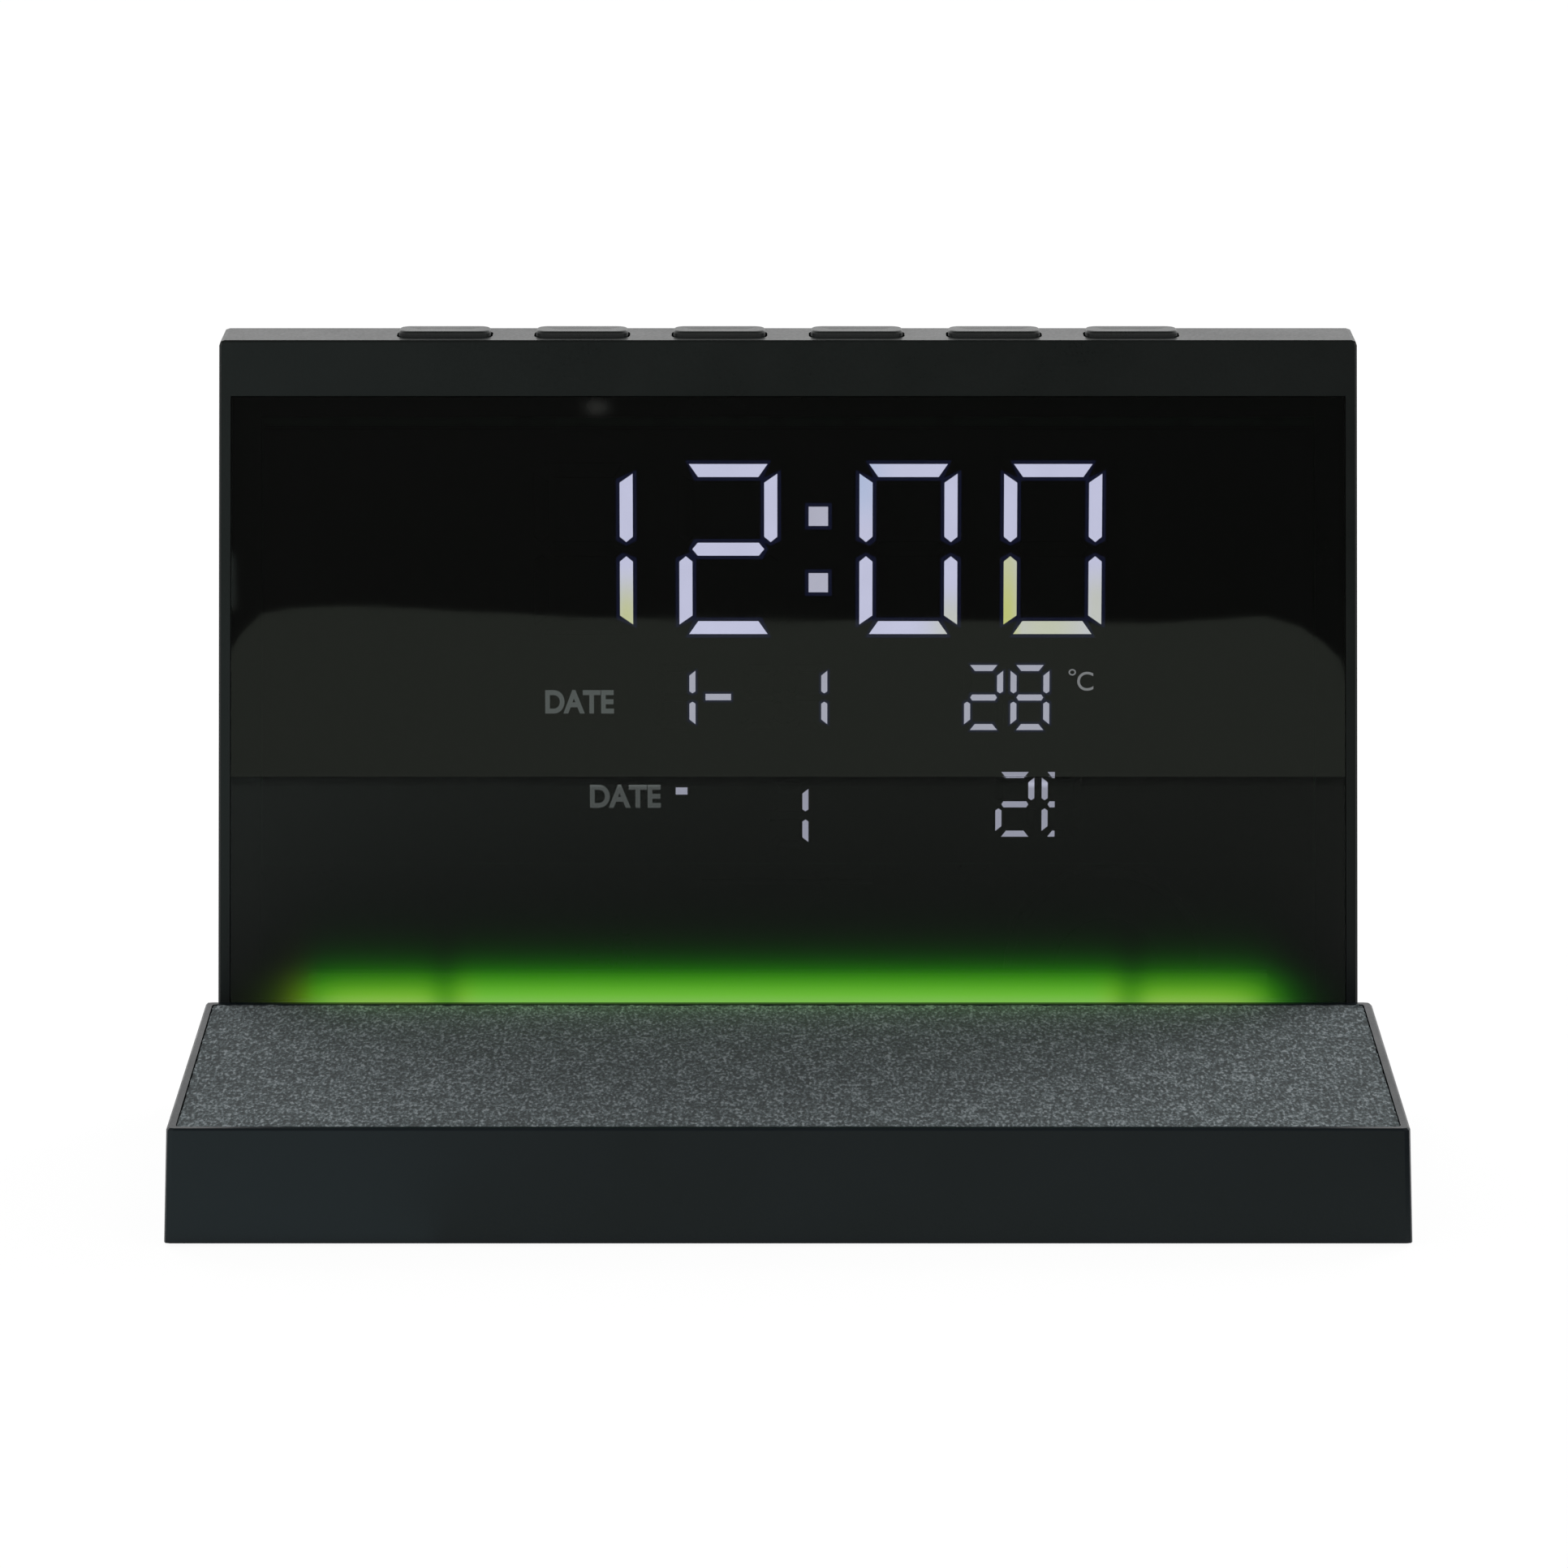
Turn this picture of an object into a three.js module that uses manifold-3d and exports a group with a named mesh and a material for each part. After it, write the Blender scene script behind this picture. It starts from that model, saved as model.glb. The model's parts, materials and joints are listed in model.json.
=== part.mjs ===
// Wireless charging alarm clock: an upright display tower that stands behind a low charging base.
// Millimetres, +Z up, +X to the viewer's right, and the front faces -Y. The origin is the middle of the
// footprint on the surface. Inside the clock group, y = 0 is the tower's front and z = 0 its underside.

import * as THREE from 'three';
import { mergeVertices } from 'three/addons/utils/BufferGeometryUtils.js';
import Module from 'manifold-3d';

const wasm = await Module();
wasm.setup();

// Tower, outside
const towerHeight = 116.7;
const towerTopWidth = 168;
const towerFlare = 1.7; // each side stands this much further out at its foot than at its top
const towerDepth = 13;
const towerCorner = 0.8;
const edgeChamfer = 0.3;

// Base, outside
const baseTopWidth = 175;
const baseTopDepth = 80;
const baseHeight = 16.5;
const baseDraft = 0.5; // how far the foot of the outer walls stands out past their top
const baseCorner = 0.9;

// Fits
const clearance = 0.3; // between neighbours that move, turn or are cut for each other
const panelGap = 0.15; // round the panels and the pad, where the joint shows
const seatGap = 0.1; // under a screw head and behind a bonded panel
const overrun = 1; // cuts run this far past the face they open
const postBite = 0.2; // how deep a boss runs into the wall that carries it

// Tower housing and its two front panels
const towerWall = 1.9;
const towerFrontWall = 2.2;
const cavityCorner = 1.5;
const frameStrip = 1.7; // plain face beside the panels
const bezelBand = 8.3; // plain face above the window
const sideLedge = 4.5; // what the panels are bonded to
const topLedge = 2.5;
const bottomLedge = 1.5;
const panelTuck = 1.5; // the lamp panel runs this far down behind the base
const panelThickness = 1.05;
const coverPostRadius = 3;
const displayPostRadius = 2.2;
const lampPostRadius = 2;
const buttonPostRadius = 2.2;

// Rear cover
const coverThickness = 2.4;
const counterboreDepth = 1.3;
const slotWidth = 1.6;
const slotPitch = 3.2;
const ventLength = 18;
const ventCount = 5;
const ventInset = 29; // from the tower's side, at its top, to the vents' middle
const ventZ = 62;

// Screws: the large ones join housings, the small ones hold the display board
const headRadius = 2.4;
const headHeight = 1.1;
const shankRadius = 1.2;
const shankLength = 8;
const smallHeadRadius = 1.7;
const smallHeadHeight = 1;
const smallShankRadius = 0.9;
const smallShankLength = 4.5;
const screwTip = 0.8;

// Top buttons and their switches
const buttonCount = 6;
const buttonWidth = 13.6;
const buttonDepth = 6;
const buttonCorner = 1.8;
const buttonPitch = 20.35;
const buttonProud = 0.9;
const buttonTravel = 0.6;
const buttonFlange = 0.5;
const flangeThickness = 1.2;
const stemWidth = 3;
const stemLength = 1.1;
const capBevel = 0.3;
const switchSize = 4;
const switchHeight = 3.2;
const plungerRadius = 1.1;
const plungerHeight = 0.6;
const buttonBoardDepth = 5.4;
const buttonPostOutset = 11; // from the last button's middle to the post that holds the board

// Display: four large digits, then two rows of small ones. What stands in it takes shares of its height.
const displaySpare = 2.2; // from the speaker's ring to the display's foot
const displayDrop = 13.7; // from the tower's top to the display's
const digitHeightShare = 0.393;
const digitFootShare = 0.5321;
const colonPitchShare = 0.1529;
const smallHeightShare = 0.1514;
const dateFootShare = 0.3096;
const secondFootShare = 0.0612;
const secondDayFootShare = 0.0352;
const secondDashShare = 0.1667;
const windowFootShare = 0.2034; // the line between the window and the lamp panel
const digitWidth = 14.6;
const digitBar = 2.1;
const digitPitch = 21.45;
const hourToMinutePitch = 26.75;
const displayX = 4.5; // middle of the four digits
const colonSize = 3.1;
const smallWidth = 5.85;
const smallBar = 1.05;
const smallPitch = 6.9;
const monthX = -16.7;
const dayX = 2.95;
const temperatureX = 29.15;
const dashLength = 3.95;
const secondTemperatureX = 33.9;
const secondDayX = 0.15;
const secondDashX = -15.9;
const secondDashLength = 1.75;
const outerCutShare = 0.71; // of the bar's thickness, from the digit's corner to the bar's long edge
const innerCutShare = 1.4; // the same, to its short edge
const smallOuterShare = 0.95; // the same pair for the small digits
const smallInnerShare = 1.7;
const middleGapShare = 0.5; // from the digit's middle to the end of an upright bar
const middlePointShare = 0.4; // how far that end comes to a point
const smallGapShare = 0.65; // the same pair for the small digits
const smallPointShare = 0.3;
const reflectorShare = 0.3346; // of the depth between the panels and the rear cover
const apertureGap = 0.12;
const diffuserThickness = 0.8;

// Display board, with shares of its half-width and height, and of the inner depth, for what stands on it
const boardThickness = 1.6;
const displayBoardMargin = 1.2;
const displayScrewInset = 6;
const displayChipShares = [
  [0.12, 0.6, 0.16, 0.16, 0.1],
  [-0.4, 0.66, 0.1, 0.1, 0.08],
  [0.5, 0.7, 0.2, 0.07, 0.08],
  [-0.05, 0.2, 0.22, 0.08, 0.27],
  [0.72, 0.35, 0.12, 0.08, 0.27],
];
const capacitorShares = [0.35, -0.2];
const capacitorShare = 0.42;
const capacitorRadius = 3;
const capacitorDeepShare = 0.27;
const thermistorRadius = 1.2;
const thermistorLength = 2.6;

// Light sensor, in the ledge above the display
const sensorOffset = 32.7; // from the middle of the digits
const sensorRadius = 1.3;
const sensorBase = 1.2;

// Lamp behind the foot of the lamp panel
const lightBarInset = 12; // from the tower's side, at its top, to the light bar's end
const lightBarHeight = 3.5;
const lightBarShare = 0.238; // of the inner depth
const lightBarCorner = 0.5;
const lampBoardThickness = 1.2;
const lampBoardDrop = 5.6; // how far the lamp board reaches below the light bar
const lampCount = 9;
const lampWidth = 3;
const lampHeight = 1.6;
const lampDepth = 0.7;
const lampPostInset = 12; // from the light bar's end

// Speaker
const speakerInset = 36; // from the tower's side, at its top, to the speaker's middle
const speakerLift = 2.2; // from the cover's foot to the ring round the speaker
const speakerRadius = 14;
const speakerShare = 0.36; // of the inner depth
const speakerFlange = 1;
const magnetRadius = 8;
const magnetDepth = 1.2;
const basketDrop = 1.6; // from the flange's face down to the basket's shoulder
const surroundWidth = 2;
const coneDepth = 1.4;
const dustCapRadius = 3.5;
const dustCapRise = 0.6;
const speakerRingWall = 1.2;
const speakerRingDepth = 3.4;
const gasketWidth = 1.6;
const gasketThickness = 0.8;
const grilleSlots = 7;

// Backup cell, its well and its door
const cellX = 0;
const cellRadius = 10;
const cellThickness = 2.5;
const cellStep = 0.7;
const cellSpare = 0.5; // round the cell, and between it and the door
const wellWall = 1.2;
const wellFloor = 0.8;
const wellLedge = 1.3; // the shoulder that the door shuts against
const wellLift = 5; // from the cover's foot to the well
const contactThickness = 0.4;
const contactWidth = 6;
const hingePinRadius = 0.5;
const hingePinLength = 1.2;
const notchRadius = 4;
const notchDepth = 0.8;

// Power inlet and its board
const socketInset = 26; // from the tower's side, at its top, to the inlet's middle
const socketWidth = 8.9;
const socketHeight = 3.25;
const socketLength = 7.3;
const socketWall = 0.4;
const socketPocket = 6.2;
const tongueThickness = 0.7;
const tongueWidth = 6.6;
const tongueLength = 4.6;
const powerBoardWidth = 30;
const powerBoardShare = 0.7435; // of the inner depth
const powerBoardLift = 2.1;
const standoffRadius = 2;

// Lead from the power board to the charger board
const leadOffset = 10; // from the inlet's middle to the lead's
const leadWidth = 8;
const leadThickness = 0.8;
const leadLift = 0.6; // above the boards
const leadInTower = 4.9;
const connectorDepth = 3.6;
const connectorHeight = 2.4;

// Base housing
const baseWall = 1.9;
const baseTopWall = 1.5;
const padRim = 1.25;
const padRecess = 1.8;
const padCorner = 0.8;
const baseBossRadius = 3;
const baseBossInset = 9.5; // from the outer faces to the screws
const bottomThickness = 2.2;
const ribThickness = 1.2;
const ribSpare = 1.5; // from the ring round the coil to the ribs under the top
const jointOffset = 18; // from the lead's middle to the joint screw beside it
const jointZ = 7;
const jointBossLength = 8;

// Pad
const fabricThickness = 0.6;
const padDrop = 0.1; // the fabric lies this far below the rim

// Charging coil on its ferrite disc
const coilTurns = 8;
const coilSteps = 20;
const coilInner = 10;
const coilPitch = 1.35;
const wireWidth = 0.9;
const wireThickness = 0.8;
const ferriteThickness = 0.8;
const ferriteMargin = 1.8;
const ferriteRingWall = 1.2;
const ferriteRingDepth = 3;

// Charger board, with shares of its width, depth and connector height for what stands on it
const chargerInset = 37.5; // from the base's side to the charger board's middle
const chargerWidth = 44;
const chargerDepth = 40;
const chargerLift = 2;
const chargerChipShares = [
  [0.25, 0.3, 0.2, 0.22, 1.4],
  [0.62, 0.32, 0.14, 0.15, 0.5],
  [0.3, 0.7, 0.14, 0.15, 0.4],
];
const chargerPostInset = 4;

// Feet
const footRadius = 5;
const footRecess = 0.4;
const footStand = 0.6;
const towerFootInset = 18; // from the tower's side, at its top
const baseFootSideInset = 25.5;
const baseFootInset = 15;

// Facets
const screwSides = 8;
const postSides = 12;
const roundSides = 24;
const ringSides = 28;
const cornerSteps = 2;
const roundSteps = 3;

// Places worked out from the sizes above
const topUnderside = towerHeight - towerWall;
const towerTopHalf = towerTopWidth / 2;
const panelLow = baseHeight - panelTuck;
const panelHigh = towerHeight - bezelBand;
const panelRecess = panelThickness + seatGap;
const openingLow = panelLow + bottomLedge;
const openingHigh = panelHigh - topLedge;
const sensorX = displayX - sensorOffset;
const sensorZ = openingHigh + topLedge / 2 - sensorRadius / 8;
const coverFace = towerDepth - coverThickness;
const coverLow = towerWall + clearance;
const innerDepth = coverFace - panelRecess;
const speakerX = towerTopHalf - speakerInset;
const speakerDepth = speakerShare * innerDepth;
const speakerFace = coverFace - gasketThickness - 2 * seatGap;
const speakerRingOuter = speakerRadius + clearance + speakerRingWall;
const speakerZ = coverLow + speakerLift + speakerRingOuter;
const displayLow = speakerZ + speakerRingOuter + displaySpare;
const displayHigh = towerHeight - displayDrop;
const displayHeight = displayHigh - displayLow;
const windowFoot = displayLow + windowFootShare * displayHeight;
const digitHeight = digitHeightShare * displayHeight;
const digitFoot = displayLow + digitFootShare * displayHeight;
const colonPitch = colonPitchShare * displayHeight;
const smallHeight = smallHeightShare * displayHeight;
const dateFoot = displayLow + dateFootShare * displayHeight;
const secondFoot = displayLow + secondFootShare * displayHeight;
const secondDayFoot = displayLow + secondDayFootShare * displayHeight;
const secondDashZ = displayLow + secondDashShare * displayHeight;
const reflectorFace = panelRecess + clearance;
const reflectorBack = reflectorFace + reflectorShare * innerDepth;
const diffuserFace = reflectorBack + clearance;
const displayBoardFace = diffuserFace + diffuserThickness + clearance;
const displayBoardBack = displayBoardFace + boardThickness;
const displayBoardHalf = towerTopHalf - towerWall - clearance;
const displayScrewHead = displayBoardBack + seatGap + smallHeadHeight;
const displayScrewTip = displayBoardBack + seatGap - smallShankLength;
const capacitorHeight = capacitorDeepShare * innerDepth;
const ventX = ventInset - towerTopHalf;
const lightBarHalf = towerTopHalf - lightBarInset;
const lightBarDepth = lightBarShare * innerDepth;
const lampPostX = lightBarHalf - lampPostInset;
const lightBarFace = panelRecess + clearance;
const lightBarLow = openingLow + clearance;
const lampBoardFace = lightBarFace + lightBarDepth + clearance + lampDepth;
const coverScrewHead = towerDepth - counterboreDepth + seatGap + headHeight;
const coverScrewTip = towerDepth - counterboreDepth + seatGap - shankLength;
const wellHalf = cellRadius + cellSpare;
const doorwayHalf = wellHalf + wellLedge;
const wellOuter = doorwayHalf + wellWall;
const cellZ = coverLow + wellLift + wellOuter;
const doorThickness = coverThickness - clearance;
const doorHalf = doorwayHalf - clearance;
const doorHeight = 2 * doorHalf;
const cellFace = towerDepth - doorThickness - cellSpare - cellThickness;
const contactFace = cellFace - clearance - contactThickness;
const hingeY = towerDepth - doorThickness / 2;
const hingeZ = cellZ - doorHalf + doorThickness / 2;
const boreReach = doorHalf + hingePinLength + clearance;
const buttonY = towerFrontWall + clearance + buttonFlange + buttonDepth / 2;
const flangeTop = topUnderside - clearance;
const stemFoot = flangeTop - flangeThickness - stemLength;
const switchTop = stemFoot - buttonTravel - clearance - plungerHeight;
const buttonBoardTop = switchTop - switchHeight;
const socketX = socketInset - towerTopHalf;
const powerBoardDepth = powerBoardShare * innerDepth;
const powerBoardLow = towerWall + powerBoardLift;
const powerBoardTop = powerBoardLow + boardThickness;
const powerBoardY = coverFace - clearance - powerBoardDepth / 2;
const socketZ = powerBoardTop + socketHeight / 2;
const padFloor = baseHeight - padRecess;
const padTop = baseHeight - padDrop;
const baseUnderside = padFloor - baseTopWall;
const baseScrewHead = counterboreDepth - seatGap - headHeight;
const baseScrewTip = counterboreDepth - seatGap + shankLength;
const jointScrewHead = towerFrontWall + seatGap + headHeight;
const jointScrewTip = towerFrontWall + seatGap - shankLength;
const coilCentreY = -baseTopDepth / 2;
const coilLow = baseUnderside - clearance - wireThickness;
const ferriteLow = coilLow - clearance - ferriteThickness;
const ferriteRadius = coilInner + coilTurns * coilPitch + wireWidth + ferriteMargin;
const ferriteRingOuter = ferriteRadius + clearance + ferriteRingWall;
const ribPlaces = [-1, 1].map((side) => coilCentreY + side * (ferriteRingOuter + ribSpare));
const chargerBoardLow = bottomThickness + chargerLift;
const chargerBoardTop = chargerBoardLow + boardThickness;
const chargerX = chargerInset - baseTopWidth / 2;
const chargerY = -baseTopDepth / 2;
const chargerPostPlaces = [-1, 1].flatMap((side) => [-1, 1].map((end) => [
  chargerX + side * (chargerWidth / 2 - chargerPostInset),
  chargerY + end * (chargerDepth / 2 - chargerPostInset),
]));
const leadX = socketX + leadOffset;
const jointX = -leadX - jointOffset;
const leadLow = Math.max(powerBoardTop, chargerBoardTop) + leadLift;
const leadFront = chargerY + chargerDepth / 2 - clearance;
const leadBack = leadInTower;
const towerFootX = towerTopHalf - towerFootInset;
const baseFootX = baseTopWidth / 2 - baseFootSideInset;

const clock = new THREE.Group();
clock.position.set(0, (baseTopDepth + baseDraft - towerDepth) / 2, footStand);

// Finishes
const finish = (color, roughness, metalness = 0) => (
  new THREE.MeshStandardMaterial({ color, roughness, metalness })
);
const mouldedPlastic = finish(0x202423, 0.55);
const smokedGloss = finish(0x0c0e0d, 0.08);
const smokedSatin = finish(0x161b17, 0.35);
const blackPlastic = finish(0x101211, 0.6);
const milkyResin = finish(0xc8cae0, 0.5);
const lampResin = finish(0x70c040, 0.4);
const boardGreen = finish(0x1f4a34, 0.5);
const meltonFabric = finish(0x4c5354, 0.95);
const steel = finish(0xb4b6b8, 0.3, 1);
const brass = finish(0xc2a05a, 0.35, 1);
const copper = finish(0xb46a3c, 0.4, 1);
const ferrite = finish(0x3a3a3c, 0.7);
const darkRubber = finish(0x18191a, 0.85);
const foam = finish(0x2a2a2c, 0.95);
const flatCable = finish(0xd8d4c8, 0.6);

// A closed three.js geometry as a solid.
function solid(geometry) {
  geometry.deleteAttribute('normal');
  geometry.deleteAttribute('uv');
  const merged = mergeVertices(geometry, 1e-4);
  return new wasm.Manifold(
    new wasm.Mesh({
      numProp: 3,
      vertProperties: merged.attributes.position.array,
      triVerts: new Uint32Array(merged.index.array),
    }),
  );
}

const joined = (bodies) => bodies.reduce((all, body) => all.add(body));
const cut = (body, tools) => tools.reduce((rest, tool) => rest.subtract(tool), body);
const bothSides = (place) => [place, [-place[0], ...place.slice(1)]];

// A straight-sided outline whose corners are rounded alike.
function outline(corners, radius = 0) {
  const toward = (from, to) => {
    const share = radius / Math.hypot(to[0] - from[0], to[1] - from[1]);
    return [from[0] + (to[0] - from[0]) * share, from[1] + (to[1] - from[1]) * share];
  };
  const shape = new THREE.Shape();
  corners.forEach((corner, i) => {
    const before = corners[(i + corners.length - 1) % corners.length];
    const start = radius ? toward(corner, before) : corner;
    if (i) shape.lineTo(...start);
    else shape.moveTo(...start);
    if (radius) shape.quadraticCurveTo(...corner, ...toward(corner, corners[(i + 1) % corners.length]));
  });
  return shape;
}

const rectangle = (left, right, low, high, radius = 0) => (
  outline([[left, low], [right, low], [right, high], [left, high]], radius)
);

// An outline with round ends, lying along x.
function stadium(width, height, x, z) {
  const reach = (width - height) / 2;
  const shape = new THREE.Shape();
  shape.absarc(x + reach, z, height / 2, -Math.PI / 2, Math.PI / 2);
  shape.absarc(x - reach, z, height / 2, Math.PI / 2, (3 * Math.PI) / 2);
  return shape;
}

// Where a drawing's x, its y and the depth go: seen from the front, and seen from the side.
const axisX = new THREE.Vector3(1, 0, 0);
const axisY = new THREE.Vector3(0, 1, 0);
const axisZ = new THREE.Vector3(0, 0, 1);
const frontView = new THREE.Matrix4().makeBasis(axisX, axisZ, axisY.clone().negate());
const sideView = new THREE.Matrix4().makeBasis(axisY, axisZ, axisX);

const extruded = (shape, depth, curveSegments) => (
  new THREE.ExtrudeGeometry(shape, { depth, bevelEnabled: false, curveSegments })
);

// A slab of an (x, z) outline from front to back.
const slab = (shape, front, back, steps = cornerSteps) => (
  solid(extruded(shape, back - front, steps).applyMatrix4(frontView).translate(0, back, 0))
);

// The same with its front and back edges chamfered.
const bevelledSlab = (shape, front, back) => solid(
  new THREE.ExtrudeGeometry(shape, {
    depth: back - front - 2 * edgeChamfer,
    bevelThickness: edgeChamfer,
    bevelSize: edgeChamfer,
    bevelOffset: -edgeChamfer,
    bevelSegments: 1,
    curveSegments: cornerSteps,
  }).applyMatrix4(frontView).translate(0, back - edgeChamfer, 0),
);

// A plate of an (x, y) outline between two heights.
const plate = (shape, low, high, steps = cornerSteps) => (
  solid(extruded(shape, high - low, steps).translate(0, 0, low))
);

// A bar of a (y, z) outline between two places along x.
const bar = (shape, left, right, steps = roundSteps) => (
  solid(extruded(shape, right - left, steps).applyMatrix4(sideView).translate(left, 0, 0))
);

// A block between its faces, and a block that stands on a board with its middle at (x, y).
const block = (left, right, front, back, low, high) => plate(rectangle(left, right, front, back), low, high);
const component = (x, y, width, depth, low, high) => (
  block(x - width / 2, x + width / 2, y - depth / 2, y + depth / 2, low, high)
);

// A body through a stack of [plan outline, height] pairs whose outlines have as many points each.
function lofted(stack, steps) {
  const rings = stack.map(([shape]) => shape.extractPoints(steps).shape.slice(0, -1));
  const count = rings[0].length;
  const last = (stack.length - 1) * count;
  const position = stack.flatMap(([, z], level) => rings[level].flatMap(({ x, y }) => [x, y, z]));
  const index = [];
  for (let level = 0; level < stack.length - 1; level += 1) {
    for (let i = 0; i < count; i += 1) {
      const here = level * count + i;
      const beside = level * count + ((i + 1) % count);
      index.push(here, beside, beside + count, here, beside + count, here + count);
    }
  }
  THREE.ShapeUtils.triangulateShape(rings[0], []).forEach(([a, b, c]) => {
    index.push(a, c, b, last + a, last + b, last + c);
  });
  const geometry = new THREE.BufferGeometry();
  geometry.setAttribute('position', new THREE.Float32BufferAttribute(position, 3));
  geometry.setIndex(index);
  return solid(geometry);
}

// Round bars: a rod runs along y at (x, z), a pillar along z at (x, y), and an axle along x at (y, z).
const cylinder = (radius, length, sides) => new THREE.CylinderGeometry(radius, radius, length, sides);
const rod = (radius, front, back, x, z, sides = postSides) => (
  solid(cylinder(radius, back - front, sides).translate(x, (front + back) / 2, z))
);
const pillar = (radius, low, high, x, y, sides = postSides) => (
  solid(cylinder(radius, high - low, sides).rotateX(Math.PI / 2).translate(x, y, (low + high) / 2))
);
const axle = (radius, left, right, y, z, sides) => (
  solid(cylinder(radius, right - left, sides).rotateZ(Math.PI / 2).translate((left + right) / 2, y, z))
);

// A profile of [radius, y] points turned about the y axis, from its low end to its high end.
const turned = (profile, sides) => (
  solid(new THREE.LatheGeometry(profile.map(([radius, y]) => new THREE.Vector2(radius, y)), sides))
);

// A solid as a named mesh.
function piece(name, body, material, parent) {
  const { numProp, vertProperties, triVerts } = body.getMesh();
  const geometry = new THREE.BufferGeometry();
  geometry.setAttribute('position', new THREE.BufferAttribute(vertProperties, numProp));
  geometry.setIndex(new THREE.BufferAttribute(triVerts, 1));
  geometry.computeVertexNormals();
  const mesh = new THREE.Mesh(geometry, material);
  mesh.name = name;
  parent.add(mesh);
  return mesh;
}

// Tower outlines, seen from the front: the sides follow the flare at every inset.
const halfWidthAt = (z) => towerTopWidth / 2 + (towerFlare * (towerHeight - z)) / towerHeight;
function towerOutline(inset, low, high, radius = 0) {
  const foot = halfWidthAt(low) - inset;
  const head = halfWidthAt(high) - inset;
  return outline([[-foot, low], [foot, low], [head, high], [-head, high]], radius);
}

// Places that two or more pieces share
const nearWalls = (radius) => towerWall + radius - postBite;
const coverScrewPlaces = [towerHeight - nearWalls(coverPostRadius), nearWalls(coverPostRadius)]
  .flatMap((z) => bothSides([halfWidthAt(z) - nearWalls(coverPostRadius), z]));
const displayScrewPlaces = [displayHigh - displayScrewInset, displayLow + displayScrewInset]
  .flatMap((z) => bothSides([halfWidthAt(z) - nearWalls(displayPostRadius), z]));
const lampPostPlaces = bothSides([lampPostX, lightBarLow - lampBoardDrop / 2]);
const buttonPlaces = Array.from({ length: buttonCount }, (_, i) => (i - (buttonCount - 1) / 2) * buttonPitch);
const buttonPostX = buttonPlaces[buttonCount - 1] + buttonPostOutset;
const jointPlaces = bothSides([jointX, jointZ]);
const towerFootPlaces = bothSides([towerFootX, towerDepth / 2]);
const baseFootPlaces = bothSides([baseFootX, baseFootInset - baseTopDepth]);
const baseScrewPlaces = [baseBossInset - baseTopDepth, -baseBossInset]
  .flatMap((y) => bothSides([baseTopWidth / 2 - baseBossInset, y]));
const powerPostPlaces = [-1, 1].map((side) => socketX + side * (powerBoardWidth / 2 - standoffRadius));
const leadSlot = rectangle(
  leadX - leadWidth / 2 - clearance,
  leadX + leadWidth / 2 + clearance,
  leadLow - clearance,
  leadLow + leadThickness + clearance,
);

// Holes for screws that point forward from a seat at y, and pockets for the feet
const shankHole = (x, z, front, back) => rod(shankRadius + clearance, front, back, x, z, screwSides);
const smallShankHole = (x, z, front, back) => rod(smallShankRadius + clearance, front, back, x, z, screwSides);
const footPocket = ([x, y]) => pillar(footRadius + clearance, -overrun, footRecess, x, y, roundSides);

const buttonOutline = (grow, x = 0, y = 0) => rectangle(
  x - buttonWidth / 2 - grow,
  x + buttonWidth / 2 + grow,
  y - buttonDepth / 2 - grow,
  y + buttonDepth / 2 + grow,
  buttonCorner,
);

// Tower housing: a deep tray, open behind, with a framed opening in front for the two panels.
function towerHousing() {
  const shell = bevelledSlab(towerOutline(0, 0, towerHeight, towerCorner), 0, towerDepth);
  const cavityShape = towerOutline(towerWall, towerWall, topUnderside, cavityCorner);
  const cavity = slab(cavityShape, towerFrontWall, towerDepth + overrun);
  const recess = slab(towerOutline(frameStrip, panelLow, panelHigh), -overrun, panelRecess);
  const openingShape = towerOutline(frameStrip + sideLedge, openingLow, openingHigh);
  const opening = slab(openingShape, 0, towerFrontWall + overrun);
  const posts = [
    ...coverScrewPlaces.map(([x, z]) => rod(coverPostRadius, panelRecess, coverFace, x, z)),
    ...displayScrewPlaces.map(([x, z]) => rod(displayPostRadius, panelRecess, displayBoardFace, x, z)),
    ...lampPostPlaces.map(([x, z]) => rod(lampPostRadius, panelRecess, lampBoardFace, x, z)),
    ...bothSides([buttonPostX]).map(([x]) => (
      pillar(buttonPostRadius, buttonBoardTop, topUnderside + postBite, x, buttonY)
    )),
    ...powerPostPlaces.map((x) => pillar(standoffRadius, towerWall - postBite, powerBoardLow, x, powerBoardY)),
  ];
  const holes = [
    ...coverScrewPlaces.map(([x, z]) => shankHole(x, z, coverScrewTip - clearance, coverFace + overrun)),
    ...displayScrewPlaces.map(([x, z]) => (
      smallShankHole(x, z, displayScrewTip - clearance, displayBoardFace + overrun)
    )),
    ...jointPlaces.map(([x, z]) => shankHole(x, z, -overrun, towerFrontWall + overrun)),
    ...buttonPlaces.map((x) => (
      plate(buttonOutline(clearance, x, buttonY), topUnderside - overrun, towerHeight + overrun, roundSteps)
    )),
    ...towerFootPlaces.map(footPocket),
    rod(sensorRadius + clearance, panelRecess, towerFrontWall + overrun, sensorX, sensorZ),
    slab(leadSlot, -overrun, towerFrontWall + overrun),
  ];
  return cut(joined([cut(shell, [cavity, recess, opening]), ...posts]), holes);
}

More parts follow.
